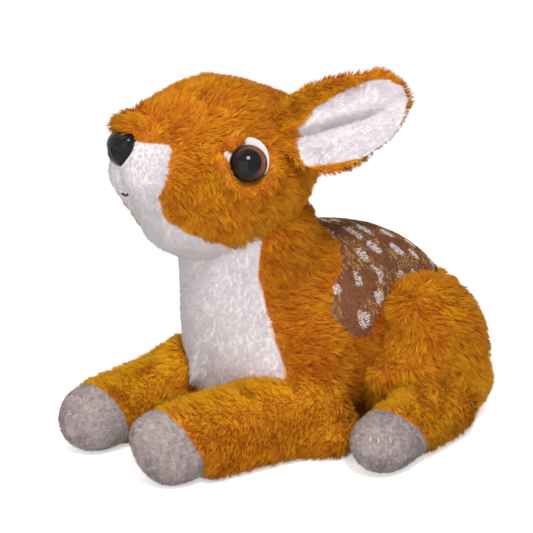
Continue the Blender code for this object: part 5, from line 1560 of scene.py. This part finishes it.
class FAWN_OT_face(bpy.types.Operator):
    """The moulded eyes on their white felts, the nose and the mouth's stitch"""
    bl_idname = "fawn.face"
    bl_label = "Eyes, nose and mouth"

    def execute(self, context):
        colours = settings()[1]
        gloss = eye_material(colours)
        felt_cloth = cloth_material("white_felt_cloth", (0.56, 0.52, 0.56), (0.74, 0.70, 0.75))
        for side in SIDES:
            skin = button_rings(EYE_RADIUS, EYE_DOME, EYE_DOME * 0.12)
            own = skin.vertices / EYE_RADIUS * [SIDES[side], 1, 1]
            mesh = mesh_from("eye_" + side, moved(skin.vertices, HEAD @ eye_matrix(side, EYE_OUT)),
                             [skin.quads, skin.caps])
            mesh.attributes.new("FacePlace", "FLOAT_VECTOR", "POINT").data.foreach_set(
                "vector", own.astype(np.float32).ravel())
            eye = piece("eye_gloss_" + side, mesh, gloss, "head")
            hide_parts("eye_" + side)
            self.felt(side, felt_cloth)
        self.nose(colours)
        self.mouth()
        return {"FINISHED"}

    def felt(self, side, cloth):
        """An oval of felt: a thin button, longer than wide, with a corner drawn out to the front."""
        skin = button_rings(1.0, 0.02, 0.06, rows=12)
        skin.vertices = skin.vertices * [FELT_SIZE[0] / 2, FELT_SIZE[1] / 2, 12 * MM]
        skin.vertices[:, 1] += FELT_SHIFT
        angle = np.arctan2(skin.vertices[:, 1], skin.vertices[:, 0] * SIDES[side])
        corner = np.exp(-np.abs(angle - CORNER[0]) / CORNER[1])
        low = step(-15 * DEG, -50 * DEG, angle) * step(-178 * DEG, -150 * DEG, angle)
        skin.vertices[:, :2] *= (1 + 0.3 * corner - 0.14 * low)[:, None]
        skin.placed(HEAD @ eye_matrix(side, FELT_OUT))
        mesh = mesh_from("eye_felt_" + side, skin.vertices, [skin.quads, skin.caps])
        felt = piece("eye_felt_oval_" + side, mesh, cloth, "head")
        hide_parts("eye_felt_" + side)

    def nose(self, colours):
        """A button drawn out at its top into a rounded triangle, with two shallow nostrils."""
        skin = button_rings(1.0, 1.0, 0.6, rows=40, sides=72)
        own = skin.vertices
        round_power = np.hypot(own[:, 0], own[:, 1])
        high = np.where(own[:, 2] > 0, np.clip(1 - round_power ** 2.6, 0, 1) ** 0.5, own[:, 2])
        x = own[:, 0] * NOSE_SIZE[0] / 2 * (1.06 + 0.28 * own[:, 1])
        y = own[:, 1] * NOSE_SIZE[1] / 2
        pits = sum(np.exp(-(((x - s * 3.6 * MM) / (1.3 * MM)) ** 2 + ((y + 1.6 * MM) / (1.0 * MM)) ** 2))
                   for s in (-1, 1))
        slit = np.exp(-(x / (0.5 * MM)) ** 2) * step(-0.1, -0.6, own[:, 1])
        z = high * NOSE_DOME - (pits * 1.1 * MM + slit * 0.4 * MM) * (own[:, 2] > 0)
        seat = matrix_of((("X", math.pi / 2),), NOSE_SEAT)
        mesh = mesh_from("nose", moved(np.stack([x, y, z], 1), HEAD @ seat), [skin.quads, skin.caps])
        black = plastic_material("nose_gloss", tuple(colours.black), 0.1)
        black.node_tree.nodes["Principled BSDF"].inputs["Specular IOR Level"].default_value = 0.14
        nose = piece("nose_gloss", mesh, black, "head")
        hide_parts("nose")

    def mouth(self):
        """The mouth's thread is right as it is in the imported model: it only takes its finish."""
        material = cloth_material("dark_thread_twist", (0.02, 0.015, 0.014), (0.06, 0.045, 0.04))
        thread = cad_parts["mouth_thread"]
        thread.material_slots[0].material = material


class FAWN_OT_inside(bpy.types.Operator):
    """What lies inside and under the toy: fibre, pellets, the belly panel and the washers"""
    bl_idname = "fawn.inside"
    bl_label = "Fillings, panel and washers"

    def execute(self, context):
        colours = settings()[1]
        fibre = cloth_material("loose_fibre", (0.62, 0.61, 0.59), (0.82, 0.81, 0.79))
        sack = cloth_material("pellet_sack_cloth", (0.45, 0.45, 0.43), (0.62, 0.62, 0.6))
        for name, node, body, slot, material, fill, share in (
                ("belly_fibre", "body_filling", "body", "fibre_fill", fibre, 0.4, 0.94),
                ("pellet_sack", "pellet_bag", "body", "pellet_cloth", sack, 0.5, 0.94),
                ("head_fibre", "head_filling", "head", "fibre_fill", fibre, 0.5, 0.94),
                ("belly_cover", "belly_panel", "body", "orange_plush", orange_cloth(colours), 0.2, 0.62)):
            low, high = (np.array(corner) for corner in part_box(node))
            ball = ball_skin((low + high) / 2, (high - low) / 2 * share).grounded()
            stuffed(name, ball, material, body, slot, fill, (node,))
        washers = plastic_material("washer_white", (0.7, 0.7, 0.68), 0.45)
        for node in ("eye_washer_left", "eye_washer_right", "nose_washer"):
            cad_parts[node].material_slots[0].material = washers
        return {"FINISHED"}


# The stage

def shown_white(tree, strength):
    """Emission that only the camera, mirrors and glass see, on top of what the lamps give."""
    path = tree.nodes.new("ShaderNodeLightPath")
    seen = maths(tree, "MAXIMUM", path.outputs["Is Camera Ray"], path.outputs["Is Glossy Ray"])
    seen = maths(tree, "MAXIMUM", seen, path.outputs["Is Transmission Ray"])
    return maths(tree, "MULTIPLY", seen, strength)


class FAWN_OT_stage(bpy.types.Operator):
    """A pale floor, soft light and the camera"""
    bl_idname = "fawn.stage"
    bl_label = "Floor, light and camera"

    def execute(self, context):
        scene = context.scene
        light = scene.fawn_light
        corners = np.array([(-1, -1, 0), (1, -1, 0), (1, 1, 0), (-1, 1, 0)]) * FLOOR_HALF
        mesh = mesh_from("floor", corners, [np.array([[0, 1, 2, 3]])])
        floor = bpy.data.objects.new("floor", mesh)
        scene.collection.objects.link(floor)
        material, tree, shader = blank("floor_paper", 0.9)
        shader.inputs["Base Color"].default_value = (0.9, 0.9, 0.9, 1)
        shader.inputs["Specular IOR Level"].default_value = 0.1
        shader.inputs["Emission Color"].default_value = (1, 1, 1, 1)
        tree.links.new(shown_white(tree, light.floor), shader.inputs["Emission Strength"])
        mesh.materials.append(material)

        world = bpy.data.worlds.new("soft_studio")
        scene.world = world
        world.use_nodes = True
        back = world.node_tree.nodes["Background"]
        back.inputs["Color"].default_value = (1, 1, 1, 1)
        extra = shown_white(world.node_tree, 1.0 - light.world)
        world.node_tree.links.new(maths(world.node_tree, "ADD", extra, light.world), back.inputs["Strength"])

        for name, place, size in LAMPS:
            self.lamp(name, place, getattr(light, name), size)
        self.camera(scene)
        scene.view_settings.view_transform = "Standard"
        return {"FINISHED"}

    def lamp(self, name, place, power, size):
        data = bpy.data.lights.new(name, "AREA")
        data.energy, data.size = power, size
        lamp = bpy.data.objects.new(name, data)
        lamp.location = place
        aim = Vector(LAMP_AIM) - Vector(place)
        lamp.rotation_euler = aim.to_track_quat("-Z", "Y").to_euler()
        bpy.context.scene.collection.objects.link(lamp)

    def camera(self, scene):
        level = math.cos(CAMERA_RISE)
        back = Vector((math.sin(CAMERA_TURN) * level, -math.cos(CAMERA_TURN) * level, math.sin(CAMERA_RISE)))
        data = bpy.data.cameras.new("camera")
        data.lens, data.sensor_width = CAMERA_LENS, 36
        data.clip_start, data.clip_end = 0.05, 20
        camera = bpy.data.objects.new("camera", data)
        camera.location = Vector(CAMERA_AIM) + back * CAMERA_AWAY
        camera.rotation_euler = (-back).to_track_quat("-Z", "Y").to_euler()
        scene.collection.objects.link(camera)
        scene.camera = camera


class FAWN_PT_panel(bpy.types.Panel):
    """The fawn's steps and settings"""
    bl_idname = "FAWN_PT_panel"
    bl_label = "Lying fawn"
    bl_space_type = "VIEW_3D"
    bl_region_type = "UI"
    bl_category = "Fawn"

    def draw(self, context):
        layout = self.layout
        for step_ in STEPS:
            layout.operator(step_.bl_idname)
        for name in ("fawn_pile", "fawn_colours", "fawn_light"):
            box = layout.box()
            for key in getattr(context.scene, name).__annotations__:
                box.prop(getattr(context.scene, name), key)


STEPS = (FAWN_OT_body, FAWN_OT_neck, FAWN_OT_head, FAWN_OT_ears, FAWN_OT_front_legs, FAWN_OT_hind_legs,
         FAWN_OT_tail, FAWN_OT_face, FAWN_OT_inside, FAWN_OT_stage)
GROUPS = (("fawn_pile", FawnPile), ("fawn_colours", FawnColours), ("fawn_light", FawnLight))


def register():
    for name, kind in GROUPS:
        bpy.utils.register_class(kind)
        setattr(bpy.types.Scene, name, PointerProperty(type=kind))
    for kind in (*STEPS, FAWN_PT_panel):
        bpy.utils.register_class(kind)


def unregister():
    for kind in reversed((*STEPS, FAWN_PT_panel)):
        bpy.utils.unregister_class(kind)
    for name, kind in reversed(GROUPS):
        delattr(bpy.types.Scene, name)
        bpy.utils.unregister_class(kind)


def main():
    register()
    for kind in STEPS:
        family, name = kind.bl_idname.split(".")
        getattr(getattr(bpy.ops, family), name)()


if __name__ == "__main__":
    main()
